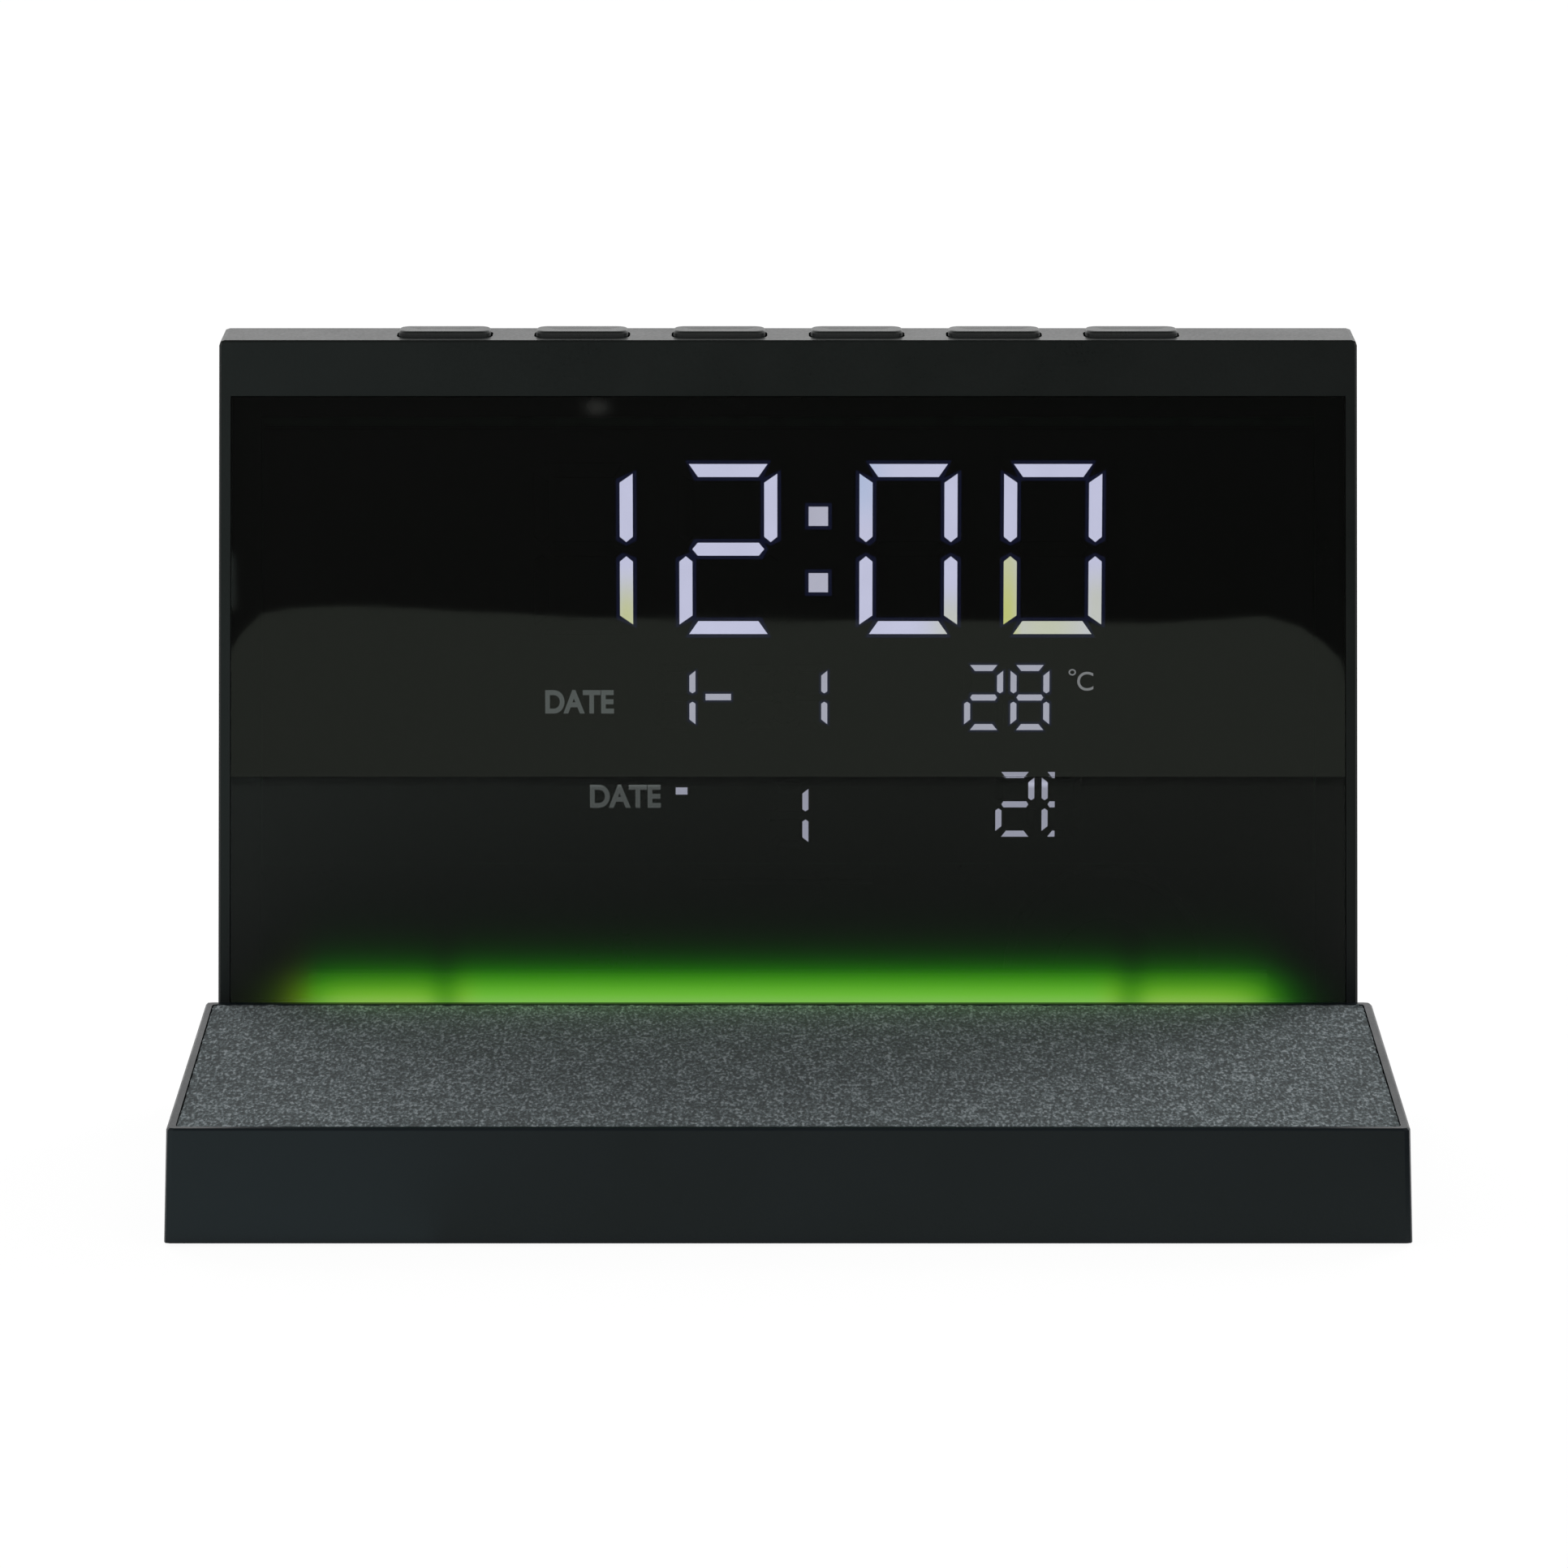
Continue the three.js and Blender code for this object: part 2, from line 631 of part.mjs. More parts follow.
// Rear cover: a plate with the speaker's grille and ring, the backup cell's well, vents and the inlet.
function rearCover() {
  const plateShape = towerOutline(towerWall + clearance, coverLow, topUnderside - clearance, cavityCorner);
  const seated = coverFace + postBite;
  const square = (half) => rectangle(cellX - half, cellX + half, cellZ - half, cellZ + half);
  const ringFront = coverFace - speakerRingDepth;
  const solidParts = [
    slab(plateShape, coverFace, towerDepth),
    rod(speakerRingOuter, ringFront, seated, speakerX, speakerZ, ringSides),
    slab(square(wellOuter), contactFace - wellFloor, seated),
  ];
  const grille = Array.from({ length: grilleSlots }, (_, i) => {
    const rise = (i - (grilleSlots - 1) / 2) * slotPitch;
    const reach = 2 * Math.sqrt((speakerRadius - gasketWidth) ** 2 - rise ** 2);
    return slab(stadium(reach, slotWidth, speakerX, speakerZ + rise), coverFace - overrun, towerDepth + overrun);
  });
  const vents = Array.from({ length: ventCount }, (_, i) => {
    const rise = (i - (ventCount - 1) / 2) * slotPitch;
    return slab(stadium(ventLength, slotWidth, ventX, ventZ + rise), coverFace - overrun, towerDepth + overrun);
  });
  const openings = [
    rod(speakerRadius + clearance, ringFront - overrun, coverFace, speakerX, speakerZ, ringSides),
    slab(square(wellHalf), contactFace, towerDepth + overrun),
    slab(square(doorwayHalf), coverFace, towerDepth + overrun),
    axle(hingePinRadius + clearance, cellX - boreReach, cellX + boreReach, hingeY, hingeZ, screwSides),
    rod(notchRadius, towerDepth - notchDepth, towerDepth + overrun, cellX, cellZ + doorwayHalf, roundSides),
    slab(
      stadium(socketWidth + 2 * clearance, socketHeight + 2 * clearance, socketX, socketZ),
      coverFace - overrun,
      towerDepth + overrun,
    ),
    ...coverScrewPlaces.flatMap(([x, z]) => [
      shankHole(x, z, coverFace - overrun, towerDepth + overrun),
      rod(headRadius + clearance, towerDepth - counterboreDepth, towerDepth + overrun, x, z, postSides),
    ]),
  ];
  return cut(joined(solidParts), [...openings, ...grille, ...vents]);
}

// Battery door: a flap with a rounded lower edge and two stub pins. Its own origin is the hinge axis.
function batteryDoor() {
  const rollRadius = doorThickness / 2;
  const shape = new THREE.Shape();
  shape.moveTo(-rollRadius, doorHeight - rollRadius);
  shape.lineTo(-rollRadius, 0);
  shape.absarc(0, 0, rollRadius, Math.PI, 2 * Math.PI);
  shape.lineTo(rollRadius, doorHeight - rollRadius);
  const pinReach = doorHalf + hingePinLength;
  return bar(shape, -doorHalf, doorHalf).add(axle(hingePinRadius, -pinReach, pinReach, 0, 0, screwSides));
}

// The smoked window in front of the display, and the satin lamp panel below it.
const displayWindow = () => slab(
  towerOutline(frameStrip + panelGap, windowFoot + panelGap / 2, panelHigh - panelGap),
  0,
  panelThickness,
);
const lampPanel = () => slab(
  towerOutline(frameStrip + panelGap, panelLow + panelGap, windowFoot - panelGap / 2),
  0,
  panelThickness,
);

// Widens a bar's outline by the same amount on every side of its middle.
function spread(corners, grow) {
  const middle = [0, 1].map((axis) => corners.reduce((sum, corner) => sum + corner[axis], 0) / corners.length);
  return corners.map((corner) => corner.map((value, axis) => {
    const offset = value - middle[axis];
    return Math.abs(offset) < grow ? value : value + Math.sign(offset) * grow;
  }));
}

// The seven bars of a digit as corner lists. The size gives its width, height, bar thickness, where a bar's
// long and short edges start, counted from the digit's corner, and the gap and point at its waist.
function digitBars(x, foot, size) {
  const { width, height, thick, outer, inner, gap, point } = size;
  const [side, top, waist] = [width / 2, height, height / 2];
  const flat = (edge, inward) => [
    [x - side + outer, foot + edge],
    [x + side - outer, foot + edge],
    [x + side - inner, foot + edge + inward * thick],
    [x - side + inner, foot + edge + inward * thick],
  ];
  const upright = (hand, away) => [
    [x + hand * side, foot + waist + away * (waist - outer)],
    [x + hand * side, foot + waist + away * (gap + point)],
    [x + hand * (side - thick / 2), foot + waist + away * gap],
    [x + hand * (side - thick), foot + waist + away * (gap + point)],
    [x + hand * (side - thick), foot + waist + away * (waist - inner)],
  ];
  const middle = [
    [x - side + thick, foot + waist],
    [x - side + thick + point, foot + waist - thick / 2],
    [x + side - thick - point, foot + waist - thick / 2],
    [x + side - thick, foot + waist],
    [x + side - thick - point, foot + waist + thick / 2],
    [x - side + thick + point, foot + waist + thick / 2],
  ];
  const uprights = [-1, 1].flatMap((hand) => [-1, 1].map((away) => upright(hand, away)));
  return [flat(top, -1), flat(0, 1), middle, ...uprights];
}

const blockCorners = (x, z, width, height) => [
  [x - width / 2, z - height / 2],
  [x + width / 2, z - height / 2],
  [x + width / 2, z + height / 2],
  [x - width / 2, z + height / 2],
];

// Every bar, colon dot and dash of the display.
function displayBars() {
  const largeDigit = {
    width: digitWidth,
    height: digitHeight,
    thick: digitBar,
    outer: digitBar * outerCutShare,
    inner: digitBar * innerCutShare,
    gap: digitBar * middleGapShare,
    point: digitBar * middlePointShare,
  };
  const smallDigit = {
    width: smallWidth,
    height: smallHeight,
    thick: smallBar,
    outer: smallBar * smallOuterShare,
    inner: smallBar * smallInnerShare,
    gap: smallBar * smallGapShare,
    point: smallBar * smallPointShare,
  };
  const units = hourToMinutePitch / 2;
  const timeCells = [-units - digitPitch, -units, units, units + digitPitch];
  const dateCells = [monthX, dayX - smallPitch, dayX, temperatureX, temperatureX + smallPitch];
  const waist = digitFoot + digitHeight / 2;
  return [
    ...timeCells.flatMap((x) => digitBars(displayX + x, digitFoot, largeDigit)),
    ...dateCells.flatMap((x) => digitBars(x, dateFoot, smallDigit)),
    ...[secondTemperatureX, secondTemperatureX + smallPitch]
      .flatMap((x) => digitBars(x, secondFoot, smallDigit)),
    ...digitBars(secondDayX, secondDayFoot, smallDigit),
    ...[-1, 1].map((side) => blockCorners(displayX, waist + (side * colonPitch) / 2, colonSize, colonSize)),
    blockCorners((monthX + dayX - smallPitch) / 2, dateFoot + smallHeight / 2, dashLength, smallBar),
    blockCorners(secondDashX, secondDashZ, secondDashLength, smallBar),
  ];
}

const reflectorShape = () => towerOutline(frameStrip + sideLedge + clearance, displayLow, displayHigh);

// The dark block that keeps each lit bar's light to itself.
function displayReflector(bars) {
  const body = slab(reflectorShape(), reflectorFace, reflectorBack);
  const apertures = bars.map((corners) => (
    slab(outline(spread(corners, apertureGap)), reflectorFace - overrun, reflectorBack + overrun)
  ));
  return cut(body, apertures);
}

// The milky sheet behind it, with one raised bar in each aperture.
function segmentDiffuser(bars) {
  const sheet = slab(reflectorShape(), diffuserFace, diffuserFace + diffuserThickness);
  return joined([sheet, ...bars.map((corners) => slab(outline(corners), reflectorFace, diffuserFace + postBite))]);
}

// The display's circuit board, with its controller, driver, capacitors and connectors behind.
function displayBoard() {
  const low = displayLow - displayBoardMargin;
  const high = displayHigh + displayBoardMargin;
  const chip = ([xShare, zShare, widthShare, heightShare, deepShare]) => {
    const [x, z] = [xShare * displayBoardHalf, low + zShare * (high - low)];
    return slab(
      outline(blockCorners(x, z, widthShare * displayBoardHalf, heightShare * displayBoardHalf)),
      displayBoardBack - postBite,
      displayBoardBack + deepShare * innerDepth,
    );
  };
  const can = (xShare) => rod(
    capacitorRadius,
    displayBoardBack - postBite,
    displayBoardBack + capacitorHeight,
    xShare * displayBoardHalf,
    low + capacitorShare * (high - low),
  );
  const board = slab(towerOutline(towerWall + clearance, low, high), displayBoardFace, displayBoardBack);
  const holes = displayScrewPlaces
    .map(([x, z]) => smallShankHole(x, z, displayBoardFace - overrun, displayBoardBack + overrun));
  return cut(joined([board, ...displayChipShares.map(chip), ...capacitorShares.map(can)]), holes);
}

// The button board, with one tact switch under each button.
function buttonBoard() {
  const half = buttonPostX + buttonPostRadius;
  const front = buttonY - switchSize / 2;
  const board = block(-half, half, front, front + buttonBoardDepth, buttonBoardTop - boardThickness, buttonBoardTop);
  const switches = buttonPlaces.flatMap((x) => [
    component(x, buttonY, switchSize, switchSize, buttonBoardTop - postBite, switchTop),
    pillar(plungerRadius, switchTop - postBite, switchTop + plungerHeight, x, buttonY, screwSides),
  ]);
  return joined([board, ...switches]);
}

// A top button: a rounded cap, a flange that stops it under the housing's top, and a stem over its switch.
// Its own origin is on the housing's top, in the middle of the button.
function topButton() {
  const below = (z) => z - towerHeight;
  const flangeFoot = below(flangeTop) - flangeThickness;
  const cap = lofted([
    [buttonOutline(0), below(flangeTop) - postBite],
    [buttonOutline(0), buttonProud - capBevel],
    [buttonOutline(-capBevel), buttonProud],
  ], roundSteps);
  const flange = plate(buttonOutline(buttonFlange), flangeFoot, below(flangeTop), roundSteps);
  const stem = component(0, 0, stemWidth, stemWidth, below(stemFoot), flangeFoot + postBite);
  return joined([cap, flange, stem]);
}

// Light sensor: a clear dome in the ledge above the display, with a square base behind.
function lightSensor() {
  const baseFront = towerFrontWall + clearance;
  const base = slab(
    outline(blockCorners(sensorX, sensorZ, 2 * sensorRadius + sensorBase, 2 * sensorRadius + sensorBase)),
    baseFront,
    baseFront + sensorBase,
  );
  return rod(sensorRadius, reflectorFace, baseFront + postBite, sensorX, sensorZ).add(base);
}

const temperatureSensor = () => turned([
  [0, 0],
  [thermistorRadius, thermistorRadius],
  [thermistorRadius, thermistorLength - thermistorRadius],
  [0, thermistorLength],
], screwSides);

// Lamp: a clear bar along the foot of the lamp panel, and the board of lamps behind it.
const lightBar = () => bar(
  rectangle(lightBarFace, lightBarFace + lightBarDepth, lightBarLow, lightBarLow + lightBarHeight, lightBarCorner),
  -lightBarHalf,
  lightBarHalf,
  cornerSteps,
);
function lampBoard() {
  const back = lampBoardFace + lampBoardThickness;
  const board = block(
    -lightBarHalf,
    lightBarHalf,
    lampBoardFace,
    back,
    lightBarLow - lampBoardDrop,
    lightBarLow + lightBarHeight,
  );
  const pitch = (2 * lightBarHalf) / lampCount;
  const lamps = Array.from({ length: lampCount }, (_, i) => slab(
    outline(blockCorners(
      (i - (lampCount - 1) / 2) * pitch,
      lightBarLow + lightBarHeight / 2,
      lampWidth,
      lampHeight,
    )),
    lampBoardFace - lampDepth,
    lampBoardFace + postBite,
  ));
  return joined([board, ...lamps]);
}

// Speaker: magnet, basket and flange, with the cone and dust cap facing backwards, out of the grille.
const speaker = () => turned([
  [0, -speakerDepth],
  [magnetRadius, -speakerDepth],
  [magnetRadius, magnetDepth - speakerDepth],
  [speakerRadius - surroundWidth, -basketDrop],
  [speakerRadius, -speakerFlange],
  [speakerRadius, 0],
  [speakerRadius - gasketWidth, 0],
  [speakerRadius - gasketWidth - surroundWidth, -speakerFlange / 2],
  [dustCapRadius, -coneDepth],
  [0, dustCapRise - coneDepth],
], ringSides);
const speakerGasket = () => turned([
  [speakerRadius - gasketWidth, 0],
  [speakerRadius, 0],
  [speakerRadius, gasketThickness],
  [speakerRadius - gasketWidth, gasketThickness],
  [speakerRadius - gasketWidth, 0],
], ringSides);

// Backup cell: the stepped button cell, and the strip that touches its inner face.
const coinCell = () => turned([
  [0, 0],
  [cellRadius - cellStep, 0],
  [cellRadius, cellStep],
  [cellRadius, cellThickness],
  [0, cellThickness],
], roundSides);
const cellContact = () => slab(
  stadium(2 * wellHalf - 2 * clearance, contactWidth, cellX, cellZ),
  contactFace,
  contactFace + contactThickness,
);

// Power inlet: a flattened steel shell with a tongue inside, on a board that stands on two posts.
function powerSocket() {
  const back = towerDepth - panelGap;
  const pocketFloor = back - socketPocket;
  const ringShape = (inset) => stadium(socketWidth - 2 * inset, socketHeight - 2 * inset, socketX, socketZ);
  const shell = slab(ringShape(0), back - socketLength, back, roundSteps)
    .subtract(slab(ringShape(socketWall), pocketFloor, back + overrun, roundSteps));
  const tongue = slab(
    outline(blockCorners(socketX, socketZ, tongueWidth, tongueThickness)),
    pocketFloor - postBite,
    pocketFloor + tongueLength,
  );
  return shell.add(tongue);
}
function powerBoard() {
  const left = socketX - powerBoardWidth / 2;
  const board = block(
    left,
    left + powerBoardWidth,
    powerBoardY - powerBoardDepth / 2,
    powerBoardY + powerBoardDepth / 2,
    powerBoardLow,
    powerBoardTop,
  );
  const connector = block(
    leadX - leadWidth / 2 - leadThickness,
    leadX + leadWidth / 2 + leadThickness,
    leadBack + clearance,
    leadBack + clearance + connectorDepth,
    powerBoardTop - postBite,
    powerBoardTop + connectorHeight,
  );
  return board.add(connector);
}
const chargerLead = () => block(
  leadX - leadWidth / 2,
  leadX + leadWidth / 2,
  leadFront,
  leadBack,
  leadLow,
  leadLow + leadThickness,
);

// Base outlines, seen from above. The rear edge stays against the tower whatever the others do.
const baseOutline = (grow) => rectangle(
  -baseTopWidth / 2 - grow,
  baseTopWidth / 2 + grow,
  -baseTopDepth - grow,
  0,
  baseCorner,
);
const padOutline = (inset) => rectangle(
  padRim + inset - baseTopWidth / 2,
  baseTopWidth / 2 - padRim - inset,
  padRim + inset - baseTopDepth,
  -padRim - inset,
  padCorner,
);
const baseInside = (inset) => rectangle(
  baseWall + inset - baseTopWidth / 2,
  baseTopWidth / 2 - baseWall - inset,
  baseWall + inset - baseTopDepth,
  -baseWall - inset,
  baseCorner,
);

// Base housing: drafted walls, a rimmed recess for the pad on top, and bosses and a coil ring inside.
function baseHousing() {
  const shell = lofted([
    [baseOutline(baseDraft), 0],
    [baseOutline((baseDraft * edgeChamfer) / baseHeight), baseHeight - edgeChamfer],
    [baseOutline(-edgeChamfer), baseHeight],
  ], cornerSteps);
  const cavity = plate(baseInside(0), -overrun, baseUnderside);
  const recess = plate(padOutline(0), padFloor, baseHeight + overrun);
  const ringLow = baseUnderside - ferriteRingDepth;
  const ring = pillar(ferriteRingOuter, ringLow, baseUnderside + postBite, 0, coilCentreY, ringSides)
    .subtract(pillar(ferriteRadius + clearance, ringLow - overrun, baseUnderside, 0, coilCentreY, ringSides));
  const bosses = [
    ...baseScrewPlaces.map(([x, y]) => (
      pillar(baseBossRadius, bottomThickness, baseUnderside + postBite, x, y)
    )),
    ...jointPlaces.map(([x, z]) => rod(baseBossRadius, -jointBossLength, -postBite, x, z)),
  ];
  const ribs = ribPlaces.map((y) => block(
    -baseTopWidth / 2 + postBite + baseWall / 2,
    baseTopWidth / 2 - postBite - baseWall / 2,
    y - ribThickness / 2,
    y + ribThickness / 2,
    ringLow,
    baseUnderside + postBite,
  ));
  const holes = [
    ...baseScrewPlaces.map(([x, y]) => (
      pillar(shankRadius + clearance, 0, baseScrewTip + clearance, x, y, screwSides)
    )),
    ...jointPlaces.map(([x, z]) => shankHole(x, z, jointScrewTip - clearance, overrun)),
    slab(leadSlot, -baseWall - overrun, overrun),
  ];
  return cut(joined([cut(shell, [cavity, recess]), ring, ...bosses, ...ribs]), holes);
}

// Base bottom: the plate under the base, with counterbores, foot pockets and the charger board's standoffs.
function baseBottom() {
  const standoffs = chargerPostPlaces
    .map(([x, y]) => pillar(standoffRadius, bottomThickness - postBite, chargerBoardLow, x, y));
  const holes = [
    ...baseScrewPlaces.flatMap(([x, y]) => [
      pillar(shankRadius + clearance, -overrun, bottomThickness + overrun, x, y, screwSides),
      pillar(headRadius + clearance, -overrun, counterboreDepth, x, y, postSides),
    ]),
    ...baseFootPlaces.map(footPocket),
  ];
  return cut(joined([plate(baseInside(clearance), 0, bottomThickness), ...standoffs]), holes);
}

// The pad: a stiff plate in the recess, and the fabric that is drawn over its top and edges.
const padPlate = () => plate(
  padOutline(panelGap + fabricThickness + seatGap),
  padFloor,
  padTop - fabricThickness - seatGap,
);
const padFabric = () => plate(padOutline(panelGap), padFloor + seatGap, padTop)
  .subtract(plate(padOutline(panelGap + fabricThickness), padFloor - overrun, padTop - fabricThickness));

// Charging coil: a flat wire wound in one spiral. The radius grows by one pitch in each turn.
function chargingCoil() {
  const section = [[0, 0], [wireWidth, 0], [wireWidth, wireThickness], [0, wireThickness]];
  const steps = coilTurns * coilSteps;
  const position = Array.from({ length: steps + 1 }, (_, step) => {
    const angle = (2 * Math.PI * step) / coilSteps;
    const start = coilInner + (coilPitch * step) / coilSteps;
    return section.flatMap(([out, up]) => [(start + out) * Math.cos(angle), (start + out) * Math.sin(angle), up]);
  }).flat();
  const sides = section.length;
  const last = steps * sides;
  const index = [0, 1, 2, 0, 2, 3, last, last + 2, last + 1, last, last + 3, last + 2];
  for (let step = 0; step < steps; step += 1) {
    for (let side = 0; side < sides; side += 1) {
      const here = step * sides + side;
      const beside = step * sides + ((side + 1) % sides);
      index.push(here, beside + sides, beside, here, here + sides, beside + sides);
    }
  }
  const geometry = new THREE.BufferGeometry();
  geometry.setAttribute('position', new THREE.Float32BufferAttribute(position, 3));
  geometry.setIndex(index);
  return solid(geometry);
}
const ferriteDisc = () => pillar(ferriteRadius, 0, ferriteThickness, 0, 0, ringSides);

// Charger board, on four standoffs, with its coils, controller and the lead's connector.
function chargerBoard() {
  const [left, front] = [chargerX - chargerWidth / 2, chargerY - chargerDepth / 2];
  const board = block(
    left,
    left + chargerWidth,
    front,
    front + chargerDepth,
    chargerBoardLow,
    chargerBoardTop,
  );
  const chips = chargerChipShares.map(([xShare, yShare, widthShare, depthShare, tallShare]) => component(
    left + xShare * chargerWidth,
    front + yShare * chargerDepth,
    widthShare * chargerWidth,
    depthShare * chargerDepth,
    chargerBoardTop - postBite,
    chargerBoardTop + tallShare * connectorHeight,
  ));
  const connector = block(
    leadX - leadWidth / 2 - leadThickness,
    leadX + leadWidth / 2 + leadThickness,
    leadFront - clearance - connectorDepth,
    leadFront - clearance,
    chargerBoardTop - postBite,
    chargerBoardTop + connectorHeight,
  );
  return joined([board, ...chips, connector]);
}

// Screws turned about y: the head's top at y = 0 and the point forward.
const screwBody = (head, headThick, shank, length) => turned([
  [0, -headThick - length],
  [shank, screwTip - headThick - length],
  [shank, -headThick],
  [head, -headThick],
  [head, 0],
  [0, 0],
], screwSides);
const screw = () => screwBody(headRadius, headHeight, shankRadius, shankLength);
const smallScrew = () => screwBody(smallHeadRadius, smallHeadHeight, smallShankRadius, smallShankLength);
const rubberFoot = () => pillar(footRadius, -footStand, footRecess, 0, 0, roundSides);

// Puts one named copy of a piece at each place, [x, y, z].
function copies(name, body, material, places, parent) {
  places.forEach(([x, y, z], i) => {
    piece(`${name}_${i + 1}`, body, material, parent).position.set(x, y, z);
  });
}

function buildTower() {
  const tower = new THREE.Group();
  clock.add(tower);
  const bars = displayBars();
  piece('tower_housing', towerHousing(), mouldedPlastic, tower);
  piece('rear_cover', rearCover(), mouldedPlastic, tower);
  piece('battery_door', batteryDoor(), mouldedPlastic, tower).position.set(cellX, hingeY, hingeZ);
  piece('display_window', displayWindow(), smokedGloss, tower);
  piece('lamp_panel', lampPanel(), smokedSatin, tower);
  piece('display_reflector', displayReflector(bars), blackPlastic, tower);
  piece('segment_diffuser', segmentDiffuser(bars), milkyResin, tower);
  piece('display_board', displayBoard(), boardGreen, tower);
  piece('button_board', buttonBoard(), boardGreen, tower);
  piece('light_sensor', lightSensor(), milkyResin, tower);
  piece('temperature_sensor', temperatureSensor(), blackPlastic, tower)
    .position.set(ventX, displayBoardBack + seatGap, ventZ);
  piece('light_bar', lightBar(), lampResin, tower);
  piece('lamp_board', lampBoard(), boardGreen, tower);
  piece('speaker', speaker(), steel, tower).position.set(speakerX, speakerFace, speakerZ);
  piece('speaker_gasket', speakerGasket(), foam, tower).position.set(speakerX, speakerFace + seatGap, speakerZ);
  piece('coin_cell', coinCell(), steel, tower).position.set(cellX, cellFace, cellZ);
  piece('cell_contact', cellContact(), brass, tower);
  piece('power_socket', powerSocket(), steel, tower);
  piece('power_board', powerBoard(), boardGreen, tower);
  copies('top_button', topButton(), mouldedPlastic, buttonPlaces.map((x) => [x, buttonY, towerHeight]), tower);
  copies('rear_cover_screw', screw(), steel, coverScrewPlaces.map(([x, z]) => [x, coverScrewHead, z]), tower);
  copies(
    'display_screw',
    smallScrew(),
    steel,
    displayScrewPlaces.map(([x, z]) => [x, displayScrewHead, z]),
    tower,
  );
  copies('joint_screw', screw(), steel, jointPlaces.map(([x, z]) => [x, jointScrewHead, z]), tower);
  copies('tower_foot', rubberFoot(), darkRubber, towerFootPlaces.map(([x, y]) => [x, y, 0]), tower);
}

function buildBase() {
  const base = new THREE.Group();
  clock.add(base);
  piece('base_housing', baseHousing(), mouldedPlastic, base);
  piece('base_bottom', baseBottom(), blackPlastic, base);
  piece('pad_plate', padPlate(), blackPlastic, base);
  piece('pad_fabric', padFabric(), meltonFabric, base);
  piece('charging_coil', chargingCoil(), copper, base).position.set(0, coilCentreY, coilLow);
  piece('ferrite_disc', ferriteDisc(), ferrite, base).position.set(0, coilCentreY, ferriteLow);
  piece('charger_board', chargerBoard(), boardGreen, base);
  piece('charger_lead', chargerLead(), flatCable, base);
  copies('base_foot', rubberFoot(), darkRubber, baseFootPlaces.map(([x, y]) => [x, y, 0]), base);
  const screws = new THREE.Group();
  screws.rotation.x = -Math.PI / 2;
  base.add(screws);
  copies('base_screw', screw(), steel, baseScrewPlaces.map(([x, y]) => [x, -baseScrewHead, y]), screws);
}

buildTower();
buildBase();

export default clock;
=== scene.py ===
"""Dresses a wireless charging alarm clock and sets up its portrait.

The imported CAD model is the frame, and its pieces keep their places. This script gives them their finishes,
lays the felt on the charging base, lights the bars of the display and the glow at the tower's foot, adds the
small details that the plain solids lack, and sets up the studio. Sizes are in millimetres until a mesh is
made. The origin is the middle of the footprint on the surface, and the front faces -Y.
"""

from __future__ import annotations

import json
import logging
import math
from dataclasses import dataclass, field
from enum import Enum
from functools import cache, reduce
from typing import Any, ClassVar, Iterable, Mapping, Sequence, Union

import bpy
import numpy as np
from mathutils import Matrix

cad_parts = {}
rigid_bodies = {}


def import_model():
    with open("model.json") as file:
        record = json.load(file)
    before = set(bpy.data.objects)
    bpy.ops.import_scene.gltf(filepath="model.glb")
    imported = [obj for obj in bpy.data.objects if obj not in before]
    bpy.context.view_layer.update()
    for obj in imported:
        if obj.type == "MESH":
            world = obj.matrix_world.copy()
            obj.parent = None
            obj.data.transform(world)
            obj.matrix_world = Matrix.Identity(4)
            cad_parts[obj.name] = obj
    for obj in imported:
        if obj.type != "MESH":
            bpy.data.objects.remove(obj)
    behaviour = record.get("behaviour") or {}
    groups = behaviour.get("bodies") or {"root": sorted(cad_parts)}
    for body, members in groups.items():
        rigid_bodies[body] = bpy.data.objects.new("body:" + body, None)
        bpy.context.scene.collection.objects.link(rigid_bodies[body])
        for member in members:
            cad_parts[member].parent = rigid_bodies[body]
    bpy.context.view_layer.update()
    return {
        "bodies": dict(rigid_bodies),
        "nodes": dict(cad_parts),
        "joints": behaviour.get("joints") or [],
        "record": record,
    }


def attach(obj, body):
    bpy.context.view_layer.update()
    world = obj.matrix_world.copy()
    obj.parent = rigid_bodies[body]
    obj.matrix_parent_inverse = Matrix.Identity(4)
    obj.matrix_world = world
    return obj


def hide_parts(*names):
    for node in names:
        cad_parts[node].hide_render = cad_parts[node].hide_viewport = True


LOG = logging.getLogger("alarm_clock")

MM = 0.001
# The satin panel's upper edge, how far below it the panel is made more see-through to paint a shaded band
# along its top, and a carried loop's least radius
PANEL_TOP = 51.3
PANEL_SHADE_BAND = 1.6
SHARPEST = 0.02

Colour = tuple[float, float, float]
Place = tuple[float, float, float]
Pair = tuple[float, float]
Box = tuple[float, float, float, float]
Points = np.ndarray
Loop = tuple[Points, Points]
Piece = bpy.types.Object
Material = bpy.types.Material
Socket = bpy.types.NodeSocket

WHITE: Colour = (1.0, 1.0, 1.0)


def scaled(colour: Colour, level: float) -> Colour:
    """A colour at another brightness."""
    return tuple(part * level for part in colour)


def linear(red: int, green: int, blue: int) -> Colour:
    """Turns a screen colour into the light values that shaders work in.

    Each channel c in 0..1 becomes ((c + 0.055) / 1.055) to the power 2.4, or c / 12.92 near black.

    Args:
        red, green, blue: Screen levels from 0 to 255.

    Returns:
        The three light values.
    """
    levels = np.array([red, green, blue]) / 255
    light = np.where(levels <= 0.04045, levels / 12.92, ((levels + 0.055) / 1.055) ** 2.4)
    return tuple(float(value) for value in light)


# Shader maths


